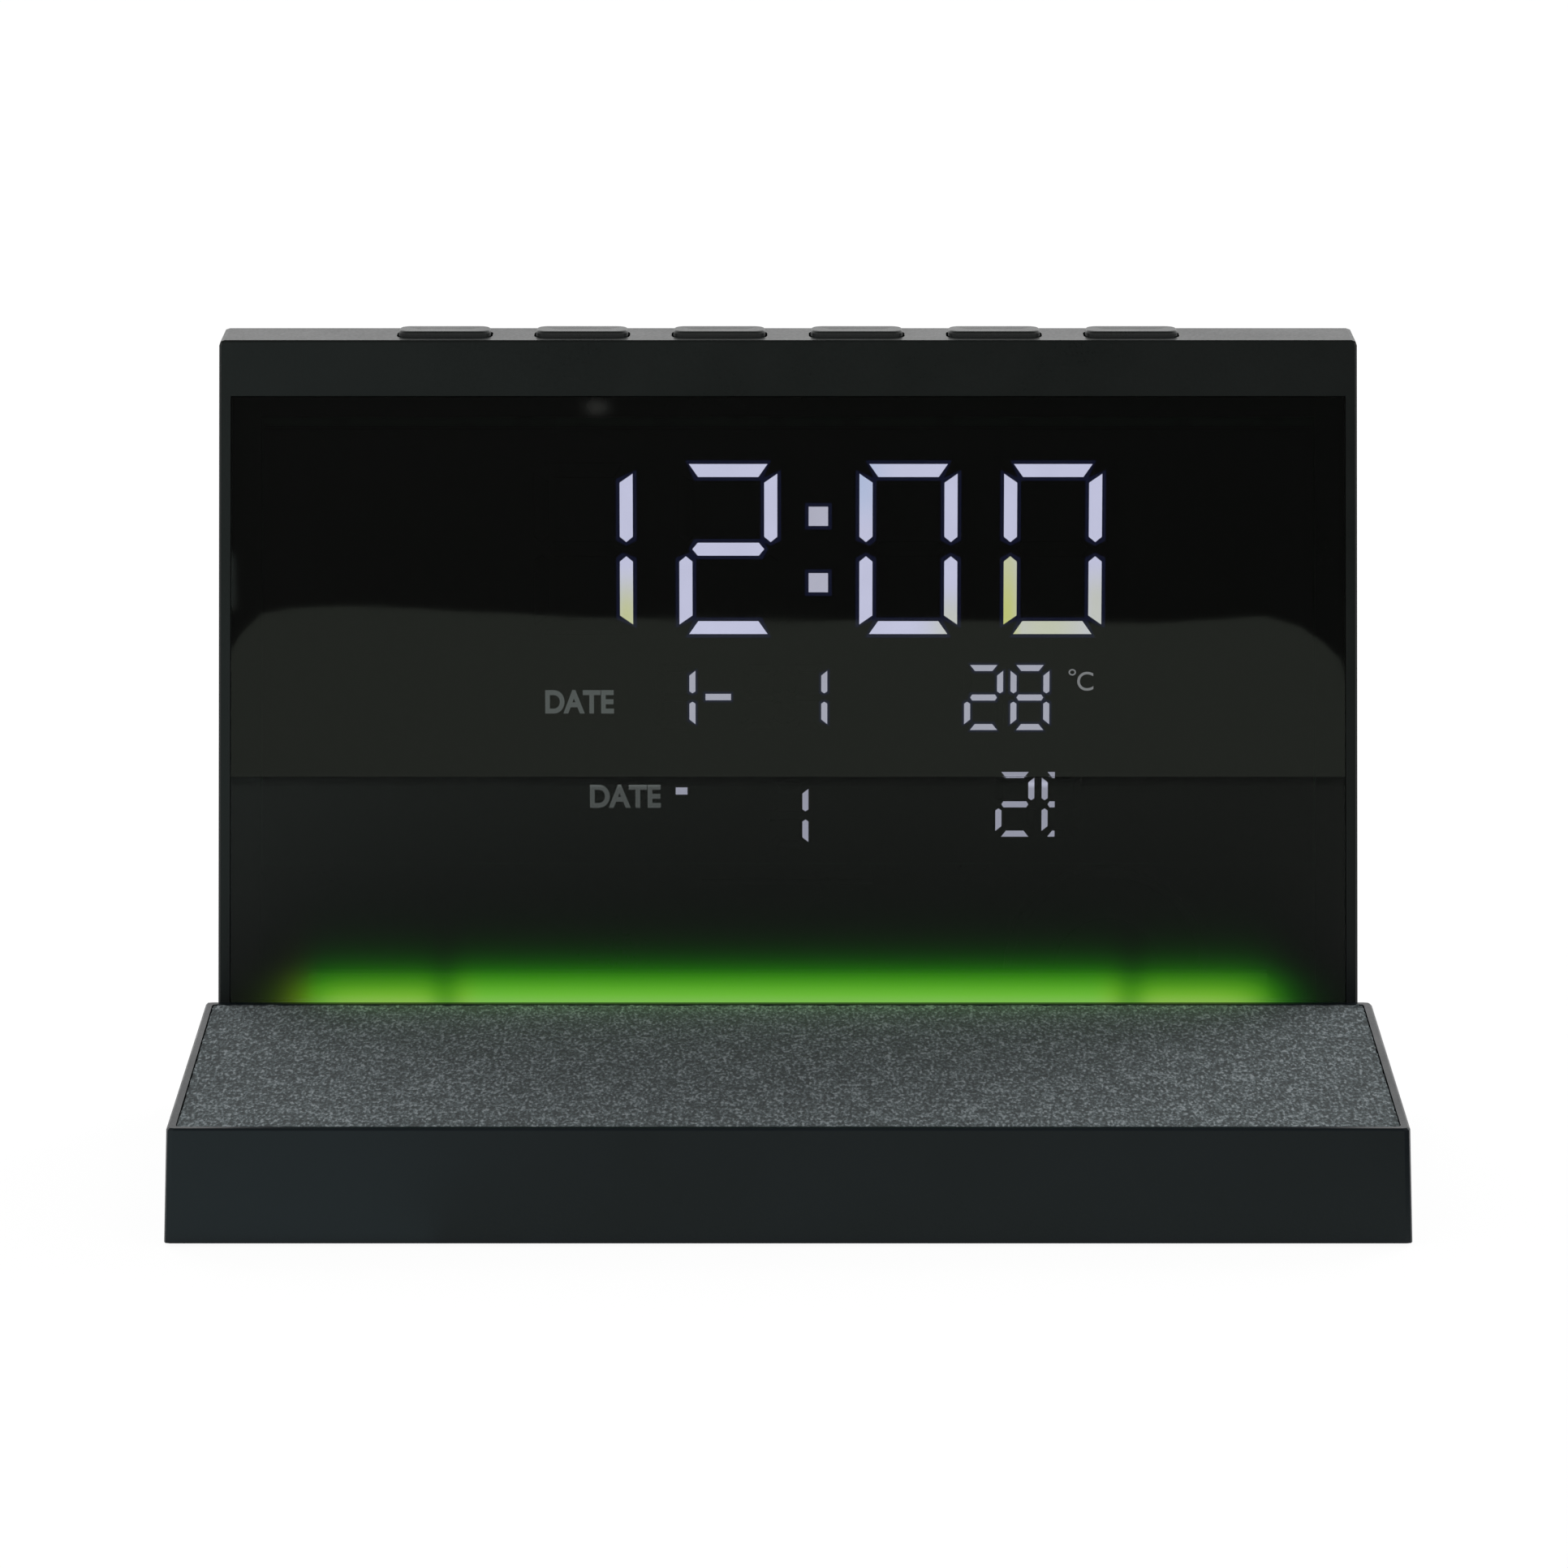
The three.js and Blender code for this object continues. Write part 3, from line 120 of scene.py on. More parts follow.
class Signal:
    """A number that changes over a surface, so that shader maths reads as plain arithmetic."""

    def __init__(self, nodes: NodeTree, socket: Socket) -> None:
        """Keeps the socket that carries the number and the nodes that it belongs to."""
        self.nodes = nodes
        self.socket = socket

    def __add__(self, other: Term) -> Signal:
        """Adds a number or a signal."""
        return self.nodes.maths("ADD", self, other)

    def __sub__(self, other: Term) -> Signal:
        """Takes a number or a signal away."""
        return self.nodes.maths("SUBTRACT", self, other)

    def __rsub__(self, other: Term) -> Signal:
        """Takes this signal away from a number."""
        return self.nodes.maths("SUBTRACT", other, self)

    def __mul__(self, other: Term) -> Signal:
        """Multiplies by a number or a signal."""
        return self.nodes.maths("MULTIPLY", self, other)

    def __truediv__(self, other: Term) -> Signal:
        """Divides by a number or a signal."""
        return self.nodes.maths("DIVIDE", self, other)

    def __rtruediv__(self, other: Term) -> Signal:
        """Divides a number by this signal."""
        return self.nodes.maths("DIVIDE", other, self)

    __radd__ = __add__
    __rmul__ = __mul__

    def size(self) -> Signal:
        """The number without its sign."""
        return self.nodes.maths("ABSOLUTE", self)

    def at_least(self, other: Term) -> Signal:
        """The larger of this signal and another."""
        return self.nodes.maths("MAXIMUM", self, other)

    def bell(self, middle: float, reach: float) -> Signal:
        """A hump that is 1 at middle and falls off as exp(-((value - middle) / reach) squared)."""
        offset = (self - middle) / reach
        return self.nodes.maths("EXPONENT", offset * offset * -1.0)

    def falling(self, half: float, softness: float) -> Signal:
        """Falls from 1 to 0 around half as 1 / (1 + exp((value - half) / softness))."""
        return 1.0 / (self.nodes.maths("EXPONENT", (self - half) / softness) + 1.0)

    def rise(self, low: float, high: float) -> Signal:
        """Goes smoothly from 0 to 1: s * s * (3 - 2 s), where s is the share of the way.

        Args:
            low: Where it is 0.
            high: Where it is 1, which may be below low.

        Returns:
            The step, flat beyond both ends.
        """
        start, end = (0.0, 1.0) if low < high else (1.0, 0.0)
        span = {"From Min": min(low, high), "From Max": max(low, high), "To Min": start, "To Max": end}
        smooth = {"interpolation_type": "SMOOTHSTEP"}
        return self.nodes.number("ShaderNodeMapRange", smooth, {"Value": self, **span})

    def swing(self, reach: float) -> Signal:
        """Noise made an offset around 0: (value - 0.5) * reach."""
        return (self - 0.5) * reach


Term = Union[Signal, float]
Feed = Union[Signal, Socket, float, Sequence[float]]
Inputs = Mapping[Union[str, int], Feed]
Stops = Sequence[tuple[float, Colour]]


class NodeTree:
    """The nodes of a material or of the world, and the maths between them."""

    def __init__(self, owner: Union[Material, bpy.types.World]) -> None:
        """Empties the nodes of their owner.

        Args:
            owner: The material or the world.
        """
        owner.use_nodes = True
        self.tree = owner.node_tree
        self.tree.nodes.clear()

    def node(
        self, kind: str, settings: Mapping[str, Any] | None = None, inputs: Inputs | None = None,
    ) -> bpy.types.Node:
        """Adds one node: its settings first, then the values or links of its sockets.

        Args:
            kind: The node's type.
            settings: Its properties. "stops" holds a ramp's (position, colour) pairs.
            inputs: What each socket gets, by the socket's name or number.

        Returns:
            The new node.
        """
        made = self.tree.nodes.new(kind)
        for name, value in (settings or {}).items():
            if name == "stops":
                self._set_stops(made.color_ramp.elements, value)
            else:
                setattr(made, name, value)
        for name, value in (inputs or {}).items():
            self.feed(made.inputs[name], value)
        return made

    @staticmethod
    def _set_stops(elements: Any, stops: Stops) -> None:
        """Gives a ramp its stops.

        Args:
            elements: The ramp's elements.
            stops: A position from 0 to 1 and a colour for each.
        """
        while len(elements) < len(stops):
            elements.new(0.5)
        for element, (position, colour) in zip(elements, stops):
            element.position = position
            element.color = (*colour, 1.0)

    def feed(self, socket: Socket, value: Feed) -> None:
        """Links a signal or a socket to a socket, or sets the socket's own value.

        Args:
            socket: The socket that is fed.
            value: What feeds it. A colour without an alpha gets a full one.
        """
        if isinstance(value, (Signal, Socket)):
            self.tree.links.new(value.socket if isinstance(value, Signal) else value, socket)
        elif isinstance(value, (int, float)):
            socket.default_value = value
        else:
            given = tuple(value)
            socket.default_value = (*given, 1.0) if socket.type == "RGBA" and len(given) == 3 else given

    def number(self, kind: str, settings: Mapping[str, Any], inputs: Inputs) -> Signal:
        """The first output of a new node, as a signal."""
        return Signal(self, self.node(kind, settings, inputs).outputs[0])

    def maths(self, operation: str, *terms: Term) -> Signal:
        """One Math node on one, two or three terms."""
        return self.number("ShaderNodeMath", {"operation": operation}, dict(enumerate(terms)))


class Shader(NodeTree):
    """The nodes of one material, built around a Principled surface."""

    def __init__(self, name: str) -> None:
        """Makes an empty material with its surface and output.

        Args:
            name: The material's name.
        """
        self.material = bpy.data.materials.new(name)
        super().__init__(self.material)
        self.surface = self.node("ShaderNodeBsdfPrincipled")
        self.output = self.node("ShaderNodeOutputMaterial", inputs={"Surface": self.surface.outputs["BSDF"]})
        self._place: Socket | None = None

    def place(self) -> Socket:
        """Where a point of the piece lies, in metres.

        Returns:
            The socket of its coordinates, which is made once and then shared.
        """
        if self._place is None:
            self._place = self.node("ShaderNodeTexCoord").outputs["Object"]
        return self._place

    def axes(self) -> tuple[Signal, Signal, Signal]:
        """Where a point lies along x, y and z, in millimetres."""
        parts = self.node("ShaderNodeSeparateXYZ", inputs={"Vector": self.place()}).outputs
        return tuple(Signal(self, part) / MM for part in parts)

    def noise(
        self,
        size: float,
        detail: float = 2.0,
        stretch: Sequence[float] = (1.0, 1.0, 1.0),
        shift: Sequence[float] = (0.0, 0.0, 0.0),
        roughness: float = 0.5,
    ) -> Signal:
        """Cloudy noise around 0.5.

        Args:
            size: How far apart its bright spots lie, in millimetres.
            detail: How many finer layers it has.
            stretch: How much longer its spots are along each axis.
            shift: Where the pattern starts, in metres.
            roughness: How strong each finer layer is against the one before.

        Returns:
            The noise's value.
        """
        scale = tuple(1 / value for value in stretch)
        placing = {"Vector": self.place(), "Location": shift, "Scale": scale}
        where = self.node("ShaderNodeMapping", inputs=placing).outputs["Vector"]
        look = {"Vector": where, "Scale": 1 / (size * MM), "Detail": detail, "Roughness": roughness}
        return self.number("ShaderNodeTexNoise", {}, look)

    def blend(self, share: Feed, first: Feed, second: Feed) -> Socket:
        """Mixes two colours: share 0 gives the first and 1 the second."""
        mixer = self.node("ShaderNodeMix", {"data_type": "RGBA"}, {0: share, 6: first, 7: second})
        return mixer.outputs[2]

    def ramp(self, value: Signal, stops: Stops) -> Socket:
        """A colour looked up in a ramp."""
        return self.node("ShaderNodeValToRGB", {"stops": stops}, {"Fac": value}).outputs["Color"]

    def colour(self, red: Term, green: Term, blue: Term) -> Socket:
        """A colour put together from three signals."""
        return self.node("ShaderNodeCombineColor", inputs={0: red, 1: green, 2: blue}).outputs["Color"]

    def relief(self, height: Signal, depth: float) -> None:
        """Gives the surface a relief from 0 to 1, where 1 stands for a depth in millimetres."""
        bump = self.node("ShaderNodeBump", inputs={"Height": height, "Distance": depth * MM, "Strength": 1.0})
        self.feed(self.surface.inputs["Normal"], bump.outputs["Normal"])

    def show(self, surface: Socket) -> None:
        """Shows something else in place of the Principled surface."""
        self.feed(self.output.inputs["Surface"], surface)

    def set(self, **values: Feed) -> None:
        """Sets or links sockets of the surface. An underscore stands for a space in a socket's name."""
        for name, value in values.items():
            self.feed(self.surface.inputs[name.replace("_", " ")], value)


# Finishes


@dataclass(frozen=True)
class Look:
    """What every finish has: a name, and a surface of its own."""

    name: str

    def paint(self, shader: Shader) -> None:
        """Builds the surface. Every finish has its own way."""
        raise NotImplementedError

    def material(self) -> Material:
        """Makes the material.

        Returns:
            The material, with its surface built.
        """
        shader = Shader(self.name)
        self.paint(shader)
        return shader.material


@dataclass(frozen=True)
class MouldedPlastic(Look):
    """Matt moulded plastic with a fine spark-eroded grain."""

    colour: Colour
    roughness: float = 0.5
    grain: float = 0.45
    depth: float = 0.012
    ior: float = 1.4

    def paint(self, shader: Shader) -> None:
        """Builds the finish: a colour with faint clouds, and a grain that breaks up the shine.

        Args:
            shader: The nodes that it is built in.
        """
        cloud = shader.noise(14.0, 3.0)
        grain = shader.noise(self.grain)
        shader.set(
            Base_Color=shader.blend(cloud, scaled(self.colour, 0.86), scaled(self.colour, 1.22)),
            Roughness=cloud.swing(0.12) + grain.swing(0.16) + self.roughness,
            IOR=self.ior,
        )
        shader.relief(grain, self.depth)


@dataclass(frozen=True)
class SmokedWindow(Look):
    """Polished tinted plastic that the lit bars show through, with a paler spot before the light sensor."""

    colour: Colour
    spot: Colour
    cover: float
    roughness: float
    sensor_x: float = -28.3
    sensor_z: float = 107.3
    smudge_x: float = -83.0
    smudge_foot: Pair = (76.0, 78.0)
    smudge_top: Pair = (87.0, 84.0)

    def paint(self, shader: Shader) -> None:
        """Builds the finish: mostly opaque, dark and glossy, with a faint film and a smudge at the left.

        Args:
            shader: The nodes that it is built in.
        """
        x, _, z = shader.axes()
        film = shader.noise(9.0, 4.0).rise(0.52, 0.75)
        smudge = x.bell(self.smudge_x, 1.2) * z.rise(*self.smudge_foot) * z.rise(*self.smudge_top)
        clear = x.bell(self.sensor_x, 1.7) * z.bell(self.sensor_z, 1.1)
        shader.set(
            Base_Color=shader.blend(clear, self.colour, self.spot),
            Roughness=film * 0.012 + smudge * 0.2 + self.roughness,
            Alpha=self.cover,
            IOR=1.5,
        )
        shader.relief(shader.noise(26.0, 1.0), 0.02)


@dataclass(frozen=True)
class GlowingPanel(Look):
    """Satin tinted plastic that a green lamp shines through along its foot. Sizes are in millimetres."""

    colour: Colour
    cover: float
    roughness: float
    strength: float
    peak: float = 0.46
    half_height: float = 19.9
    fade: float = 1.25
    tail: float = 0.05
    tail_foot: float = 21.0
    tail_fade: float = 2.5
    edge: float = 72.0
    edge_softness: float = 2.0
    dip: float = 51.2
    dip_reach: float = 2.6
    dip_depth: float = 0.34
    outer_drop: float = 0.45
    outer_runs: Pair = (45.0, 50.0)
    left_end: Pair = (-69.5, -76.0)
    foot: Pair = (18.5, 17.0)

    def glow(self, shader: Shader) -> Signal:
        """How bright the lamp shows, from the panel's foot upwards and from side to side.

        Upwards it is peak / (1 + exp((z - half_height) / fade)), a little lower in the outer runs, plus a
        long faint tail * exp((tail_foot - z) / tail_fade). Sideways it ends as
        1 / (1 + exp((|x| - edge) / edge_softness)), and dips between the lamp's three runs.

        Args:
            shader: The shader that it is built in.

        Returns:
            The green light, where 1 is white's.
        """
        x, _, z = shader.axes()
        across = x.size()
        outer = across.rise(self.dip - 2.0, self.dip + 2.0)
        upward = (z + outer * self.outer_drop).falling(self.half_height, self.fade) * self.peak
        above = self.tail_foot - z.at_least(self.tail_foot)
        tail = shader.maths("EXPONENT", above / self.tail_fade) * self.tail
        dips = 1.0 - across.bell(self.dip, self.dip_reach) * self.dip_depth
        return (upward + tail) * across.falling(self.edge, self.edge_softness) * dips

    def paint(self, shader: Shader) -> None:
        """Builds the finish.

        The glow turns from deep to yellowish green as it gets brighter, more so in the outer runs and at the
        left end, and pales at the very foot. Below its upper edge the panel is made more see-through, which
        paints a darker, shaded band along its top.

        Args:
            shader: The nodes that it is built in.
        """
        x, _, z = shader.axes()
        green = self.glow(shader)
        outer = x.size().rise(*self.outer_runs) * 0.24 + 0.65
        olive = x.rise(*self.left_end) * 0.4 + 0.03
        pale = z.rise(*self.foot) * green * 0.06
        red = green * olive + green * green * outer + pale
        blue = green * green * green * 0.42 + pale
        haze = shader.noise(30.0)
        shader.set(
            Base_Color=shader.blend(haze, self.colour, scaled(self.colour, 1.2)),
            Roughness=haze.swing(0.06) + self.roughness,
            # Painted shade: the panel is made more see-through towards its upper edge, so that its top band
            # shows darker.
            Alpha=(z.rise(PANEL_TOP, PANEL_TOP - PANEL_SHADE_BAND) * 0.65 + 0.35) * self.cover,
            IOR=1.37,
            Emission_Color=shader.colour(red, green, blue),
            Emission_Strength=self.strength,
        )
        shader.relief(shader.noise(0.5), 0.004)


@dataclass(frozen=True)
class Felt(Look):
    """Short felted wool: mottled greys, tangled fibres and a soft sheen."""

    shades: tuple[Colour, Colour, Colour, Colour]
    stops: Sequence[float] = (0.0, 0.4, 0.78, 1.0)
    contrast: Pair = (0.41, 0.62)

    def paint(self, shader: Shader) -> None:
        """Builds the finish from tufts, fibres that lie two ways, and fine specks, from dark to light.

        Args:
            shader: The nodes that it is built in.
        """
        tufts = shader.noise(2.2, stretch=(1.0, 1.6, 1.0), roughness=0.6)
        slanting = shader.noise(0.5, 1.0, stretch=(1.0, 2.8, 1.0))
        upright = shader.noise(0.42, 1.0, stretch=(1.0, 3.2, 1.0), shift=(0.3, 0.1, 0.2))
        specks = shader.noise(0.28, 1.0, stretch=(1.0, 2.5, 1.0))
        mottle = tufts * 0.16 + slanting * 0.3 + upright * 0.34 + specks * 0.2
        shader.set(
            Base_Color=shader.ramp(mottle.rise(*self.contrast), list(zip(self.stops, self.shades))),
            Roughness=0.95,
            Sheen_Weight=0.12,
            Sheen_Roughness=0.5,
            Specular_IOR_Level=0.15,
        )
        shader.relief(mottle, 0.35)


@dataclass(frozen=True)
class Patch:
    """A tinted stretch of the lit bars: a hump round x that goes from nothing at start to its share at full.

    A patch with a least share starts with that at once, where its bar begins. Sizes are in millimetres.
    """

    x: float
    reach: float
    start: float
    full: float
    share: float
    least: float = 0.0

    def mask(self, x: Signal, z: Signal) -> Signal:
        """How much of the tint a point has: exp(-((x - middle) / reach) squared) times the upward step.

        Args:
            x, z: Where the point lies.

        Returns:
            The tint's share there.
        """
        upward = z.rise(self.start, self.full) * (self.share - self.least)
        if self.least:
            upward = (upward + self.least) * z.rise(self.start + 0.4, self.start - 0.6)
        return x.bell(self.x, self.reach) * upward


@dataclass(frozen=True)
class LitResin(Look):
    """The resin of a bar that is lit from behind: even, with faint clouds in its light."""

    colour: Colour
    strength: float
    warm: Sequence[Patch] = ()
    cool: Sequence[Patch] = ()
    veiled: bool = False

    @staticmethod
    def tinted(shader: Shader, shade: Feed, patches: Sequence[Patch], tint: Colour) -> Feed:
        """Lays a tint over a shade, by the strongest of some patches.

        Args:
            shader: The nodes that it is built in.
            shade: The colour underneath.
            patches: Where the tint is.
            tint: Its colour.

        Returns:
            The tinted colour.
        """
        if not patches:
            return shade
        x, _, z = shader.axes()
        return shader.blend(reduce(Signal.at_least, [patch.mask(x, z) for patch in patches]), shade, tint)

    def paint(self, shader: Shader) -> None:
        """Builds the finish.

        Some bars have yellow-green or blue patches. The second row dims as 1 - (1 - shade_band) squared where
        the panel before it is made see-through for its painted shade, so that those bars don't show brighter
        there, and less above it.

        Args:
            shader: The nodes that it is built in.
        """
        shade: Feed = shader.blend(shader.noise(5.0, 1.0), self.colour, scaled(self.colour, 1.1))
        shade = self.tinted(shader, shade, self.warm, linear(199, 205, 128))
        shade = self.tinted(shader, shade, self.cool, linear(160, 190, 226))
        if self.veiled:
            # The bars are dimmed under the panel's painted-shade band, where the panel lets more of them
            # through.
            z = shader.axes()[2]
            shade_band = z.rise(PANEL_TOP - PANEL_SHADE_BAND, PANEL_TOP)
            dim = shade_band * (2.0 - shade_band) * 0.82 - z.rise(PANEL_TOP + 0.05, PANEL_TOP + 0.2) * 0.5
            shade = shader.blend(dim, shade, (0.0, 0.0, 0.0))
        shader.set(
            Base_Color=(0.02, 0.02, 0.02),
            Roughness=0.6,
            Emission_Color=shade,
            Emission_Strength=self.strength,
        )


@dataclass(frozen=True)
class Metal(Look):
    """Plated or bare metal with a faint drawn grain."""

    colour: Colour
    roughness: float = 0.32

    def paint(self, shader: Shader) -> None:
        """Builds the finish from a stretched grain.

        Args:
            shader: The nodes that it is built in.
        """
        grain = shader.noise(0.3, stretch=(8.0, 1.0, 1.0))
        shader.set(
            Base_Color=shader.blend(grain, scaled(self.colour, 0.85), self.colour),
            Metallic=1.0,
            Roughness=grain.swing(0.2) + self.roughness,
        )
        shader.relief(grain, 0.004)


@dataclass(frozen=True)
class Rubber(Look):
    """Soft dark rubber, dull and a little dusty."""

    colour: Colour

    def paint(self, shader: Shader) -> None:
        """Builds the finish: dust in pale patches over a dull ground.

        Args:
            shader: The nodes that it is built in.
        """
        dust = shader.noise(2.5, 4.0).rise(0.45, 0.8)
        shader.set(
            Base_Color=shader.blend(dust * 0.4, self.colour, (0.06, 0.06, 0.058)),
            Roughness=dust * 0.08 + 0.82,
            Specular_IOR_Level=0.3,
        )
        shader.relief(shader.noise(0.35), 0.02)


@dataclass(frozen=True)
class CircuitBoard(Look):
    """Green solder mask over copper tracks."""

    mask: Colour
    track: Colour

    def paint(self, shader: Shader) -> None:
        """Builds the finish: squared patches of track under a shiny mask.

        Args:
            shader: The nodes that it is built in.
        """
        cells = shader.node(
            "ShaderNodeTexVoronoi",
            {"distance": "CHEBYCHEV", "feature": "F1"},
            {"Vector": shader.place(), "Scale": 1 / (4.0 * MM)},
        )
        tracks = Signal(shader, cells.outputs["Distance"]).rise(0.28, 0.36)
        shader.set(
            Base_Color=shader.blend(tracks * 0.7, self.mask, self.track),
            Roughness=tracks * -0.08 + 0.42,
            Coat_Weight=0.3,
        )
        shader.relief(tracks, 0.03)


WARM_ENDS = (
    Patch(-24.0, 2.2, 84.0, 75.5, 0.8),
    Patch(24.2, 3.0, 81.0, 75.0, 0.4),
    Patch(32.5, 2.6, 86.0, 76.0, 1.0, least=0.65),
    Patch(38.5, 7.5, 78.0, 75.0, 0.55),
    Patch(45.8, 2.2, 84.5, 78.0, 0.4),
)
COOL_ENDS = (Patch(11.0, 3.0, 88.0, 95.0, 0.4),)


class Finish(Enum):
    """Every finish on the clock."""

    HOUSING = MouldedPlastic("housing_plastic", linear(10, 15, 14), roughness=0.32, ior=1.36)
    BASE = MouldedPlastic("base_plastic", linear(10, 18, 23), roughness=0.36, ior=1.33)
    BUTTON = MouldedPlastic("button_plastic", linear(22, 25, 24), roughness=0.3, grain=0.35, depth=0.006)
    BLACK = MouldedPlastic("dull_black_plastic", linear(12, 13, 13), roughness=0.62)
    UNLIT = MouldedPlastic("unlit_resin", linear(10, 11, 11), roughness=0.7)
    WINDOW = SmokedWindow("smoked_window", linear(9, 10, 9), linear(52, 53, 51), cover=0.62, roughness=0.02)
    PANEL = GlowingPanel("glowing_panel", linear(12, 16, 12), cover=0.68, roughness=0.43, strength=1.15)
    FELT = Felt(
        "pad_felt", (linear(37, 44, 46), linear(63, 72, 74), linear(93, 102, 105), linear(126, 133, 136)),
    )
    TIME = LitResin("lit_time", linear(198, 200, 226), strength=6.0, warm=WARM_ENDS, cool=COOL_ENDS)
    COLON = LitResin("lit_colon", linear(180, 181, 198), strength=6.0)
    HALO = LitResin("light_halo", linear(16, 20, 46), strength=4.0)
    DATE = LitResin("lit_date", linear(165, 167, 181), strength=6.0)
    SECOND = LitResin("lit_second_row", linear(147, 149, 164), strength=9.0, veiled=True)
    LABEL = LitResin("lit_label", linear(76, 81, 80), strength=6.0)
    FAINT = LitResin("lit_faint_label", linear(72, 76, 75), strength=8.0)
    SIGN = LitResin("lit_sign", linear(120, 122, 124), strength=6.0)
    LAMP = LitResin("lamp_resin", linear(60, 120, 30), strength=0.6)
    STEEL = Metal("plated_steel", linear(190, 192, 194))
    BRASS = Metal("brass_strip", linear(205, 170, 100), roughness=0.28)
    COPPER = Metal("coil_copper", linear(196, 116, 70))
    CONTACT = Metal("gilt_contact", linear(214, 178, 96), roughness=0.22)
    RUBBER = Rubber("foot_rubber", linear(24, 25, 26))
    FOAM = Rubber("gasket_foam", linear(38, 38, 40))
    FERRITE = MouldedPlastic("ferrite_grey", linear(58, 58, 60), roughness=0.7)
    RIBBON = MouldedPlastic("ribbon_cable", linear(214, 210, 200), roughness=0.5)
    BOARD = CircuitBoard("circuit_board", linear(24, 72, 50), linear(44, 108, 72))

    @cache
    def material(self) -> Material:
        """The finish's material, made the first time that it is asked for."""
        return self.value.material()


# Surfaces


def new_object(name: str, data: bpy.types.ID) -> bpy.types.Object:
    """Puts a new object into the scene.

    Args:
        name: The object's name.
        data: Its mesh, lamp or camera data.

    Returns:
        The object, at the origin.
    """
    made = bpy.data.objects.new(name, data)
    bpy.context.scene.collection.objects.link(made)
    return made


def mesh_piece(name: str, points: Points, faces: Points, finish: Finish, smooth: bool = True) -> Piece:
    """Makes a piece from points in millimetres and faces that all have as many corners.

    Args:
        name: The piece's name.
        points: One row of x, y, z for each point.
        faces: One row of point numbers for each face.
        finish: What it is made of.
        smooth: Whether its faces shade as one round surface.

    Returns:
        The piece, with its place in its mesh.
    """
    mesh = bpy.data.meshes.new(name)
    mesh.vertices.add(len(points))
    mesh.vertices.foreach_set("co", (np.asarray(points, dtype=np.float64) * MM).astype(np.float32).ravel())
    sides = faces.shape[1]
    mesh.loops.add(faces.size)
    mesh.loops.foreach_set("vertex_index", faces.astype(np.int32).ravel())
    mesh.polygons.add(len(faces))
    mesh.polygons.foreach_set("loop_start", np.arange(0, faces.size, sides, dtype=np.int32))
    mesh.update(calc_edges=True)
    mesh.validate()
    mesh.polygons.foreach_set("use_smooth", np.full(len(mesh.polygons), smooth))
    mesh.materials.append(finish.material())
    return new_object(name, mesh)


def ring_faces(rings: int, around: int) -> Points:
    """Quads between neighbouring rings: (ring, i), (ring, i + 1), (ring + 1, i + 1), (ring + 1, i).

    Args:
        rings: How many rings there are.
        around: How many points each has.

    Returns:
        One row of four point numbers for each quad.
    """
    ring, step = np.meshgrid(np.arange(rings - 1), np.arange(around), indexing="ij")
    here, beside = ring * around + step, ring * around + (step + 1) % around
    return np.stack([here, beside, beside + around, here + around], axis=-1).reshape(-1, 4)


def skin(name: str, rings: Points, finish: Finish, start: bool = True) -> Piece:
    """Makes a piece from a stack of closed rings, from one end to the other.

    Args:
        name: The piece's name.
        rings: Points as [ring, step, xyz]. Seen from outside at the start, they turn so that faces point out.
        finish: What it is made of.
        start: Whether the first ring is closed to its middle, as the last one is.

    Returns:
        The piece. A closed end is a ring drawn in to its middle point, and joined there.
    """
    count, around = rings.shape[:2]
    faces = ring_faces(count, around)
    triangles = [faces[:, [0, 1, 2]], faces[:, [0, 2, 3]]]
    middles = [rings[-1].mean(axis=0)]
    step = np.arange(around)
    beside = (step + 1) % around
    middle = np.full(around, count * around)
    last = (count - 1) * around
    triangles.append(np.stack([last + step, last + beside, middle], axis=-1))
    if start:
        middles.append(rings[0].mean(axis=0))
        triangles.append(np.stack([middle + 1, beside, step], axis=-1))
    return mesh_piece(name, np.vstack([rings.reshape(-1, 3), *middles]), np.vstack(triangles), finish)


def rounded_loop(half_width: float, half_depth: float, radius: float, spacing: float) -> Loop:
    """The middles of a rounded rectangle's corner arcs and each point's direction from them.

    Args:
        half_width: Half of its size along the first axis.
        half_depth: Half of its size along the second.
        radius: The radius of its corners.
        spacing: How far apart the points on its straight sides are, at most.

    Returns:
        The anchor and the direction of each point. A point of the loop is anchor + direction * radius, and a
        smaller radius insets the whole loop evenly, straight sides included.
    """
    corners = np.array([(1, 1), (-1, 1), (-1, -1), (1, -1)]) * (half_width - radius, half_depth - radius)
    turns = np.radians(np.arange(0, 91, 11.25))
    anchors, directions = [], []
    for quarter, (corner, following) in enumerate(zip(corners, np.roll(corners, -1, axis=0))):
        angle = turns + quarter * math.pi / 2
        arc = np.stack([np.cos(angle), np.sin(angle)], axis=-1)
        steps = max(2, int(np.hypot(*(following - corner)) / spacing))
        share = (np.arange(1, steps) / steps)[:, None]
        anchors += [np.tile(corner, (len(arc), 1)), corner + (following - corner) * share]
        directions += [arc, np.tile(arc[-1], (steps - 1, 1))]
    return np.vstack(anchors), np.vstack(directions)


def carried(loop: Loop, profile: Points, middle: Sequence[float] = (0.0, 0.0)) -> Points:
    """Carries a profile along a rounded loop that lies flat.

    Each profile point (out, z) gives the ring anchor + direction * out at the height z. Where out is below
    zero the anchors are drawn in as well, so that the loop keeps its shape down to its middle.

    Args:
        loop: What rounded_loop gives.
        profile: Rows of (out, z).
        middle: Where the loop's middle goes.

    Returns:
        The rings as [ring, step, xyz].
    """
    anchors, directions = loop
    out, z = profile.T[:, :, None, None]
    drawn = np.sign(anchors) * np.maximum(np.abs(anchors) + np.minimum(out, 0.0), 0.0)
    flat = drawn + directions * np.maximum(out, SHARPEST) + np.asarray(middle)
    return np.concatenate([flat, np.broadcast_to(z, (*flat.shape[:2], 1))], axis=2)


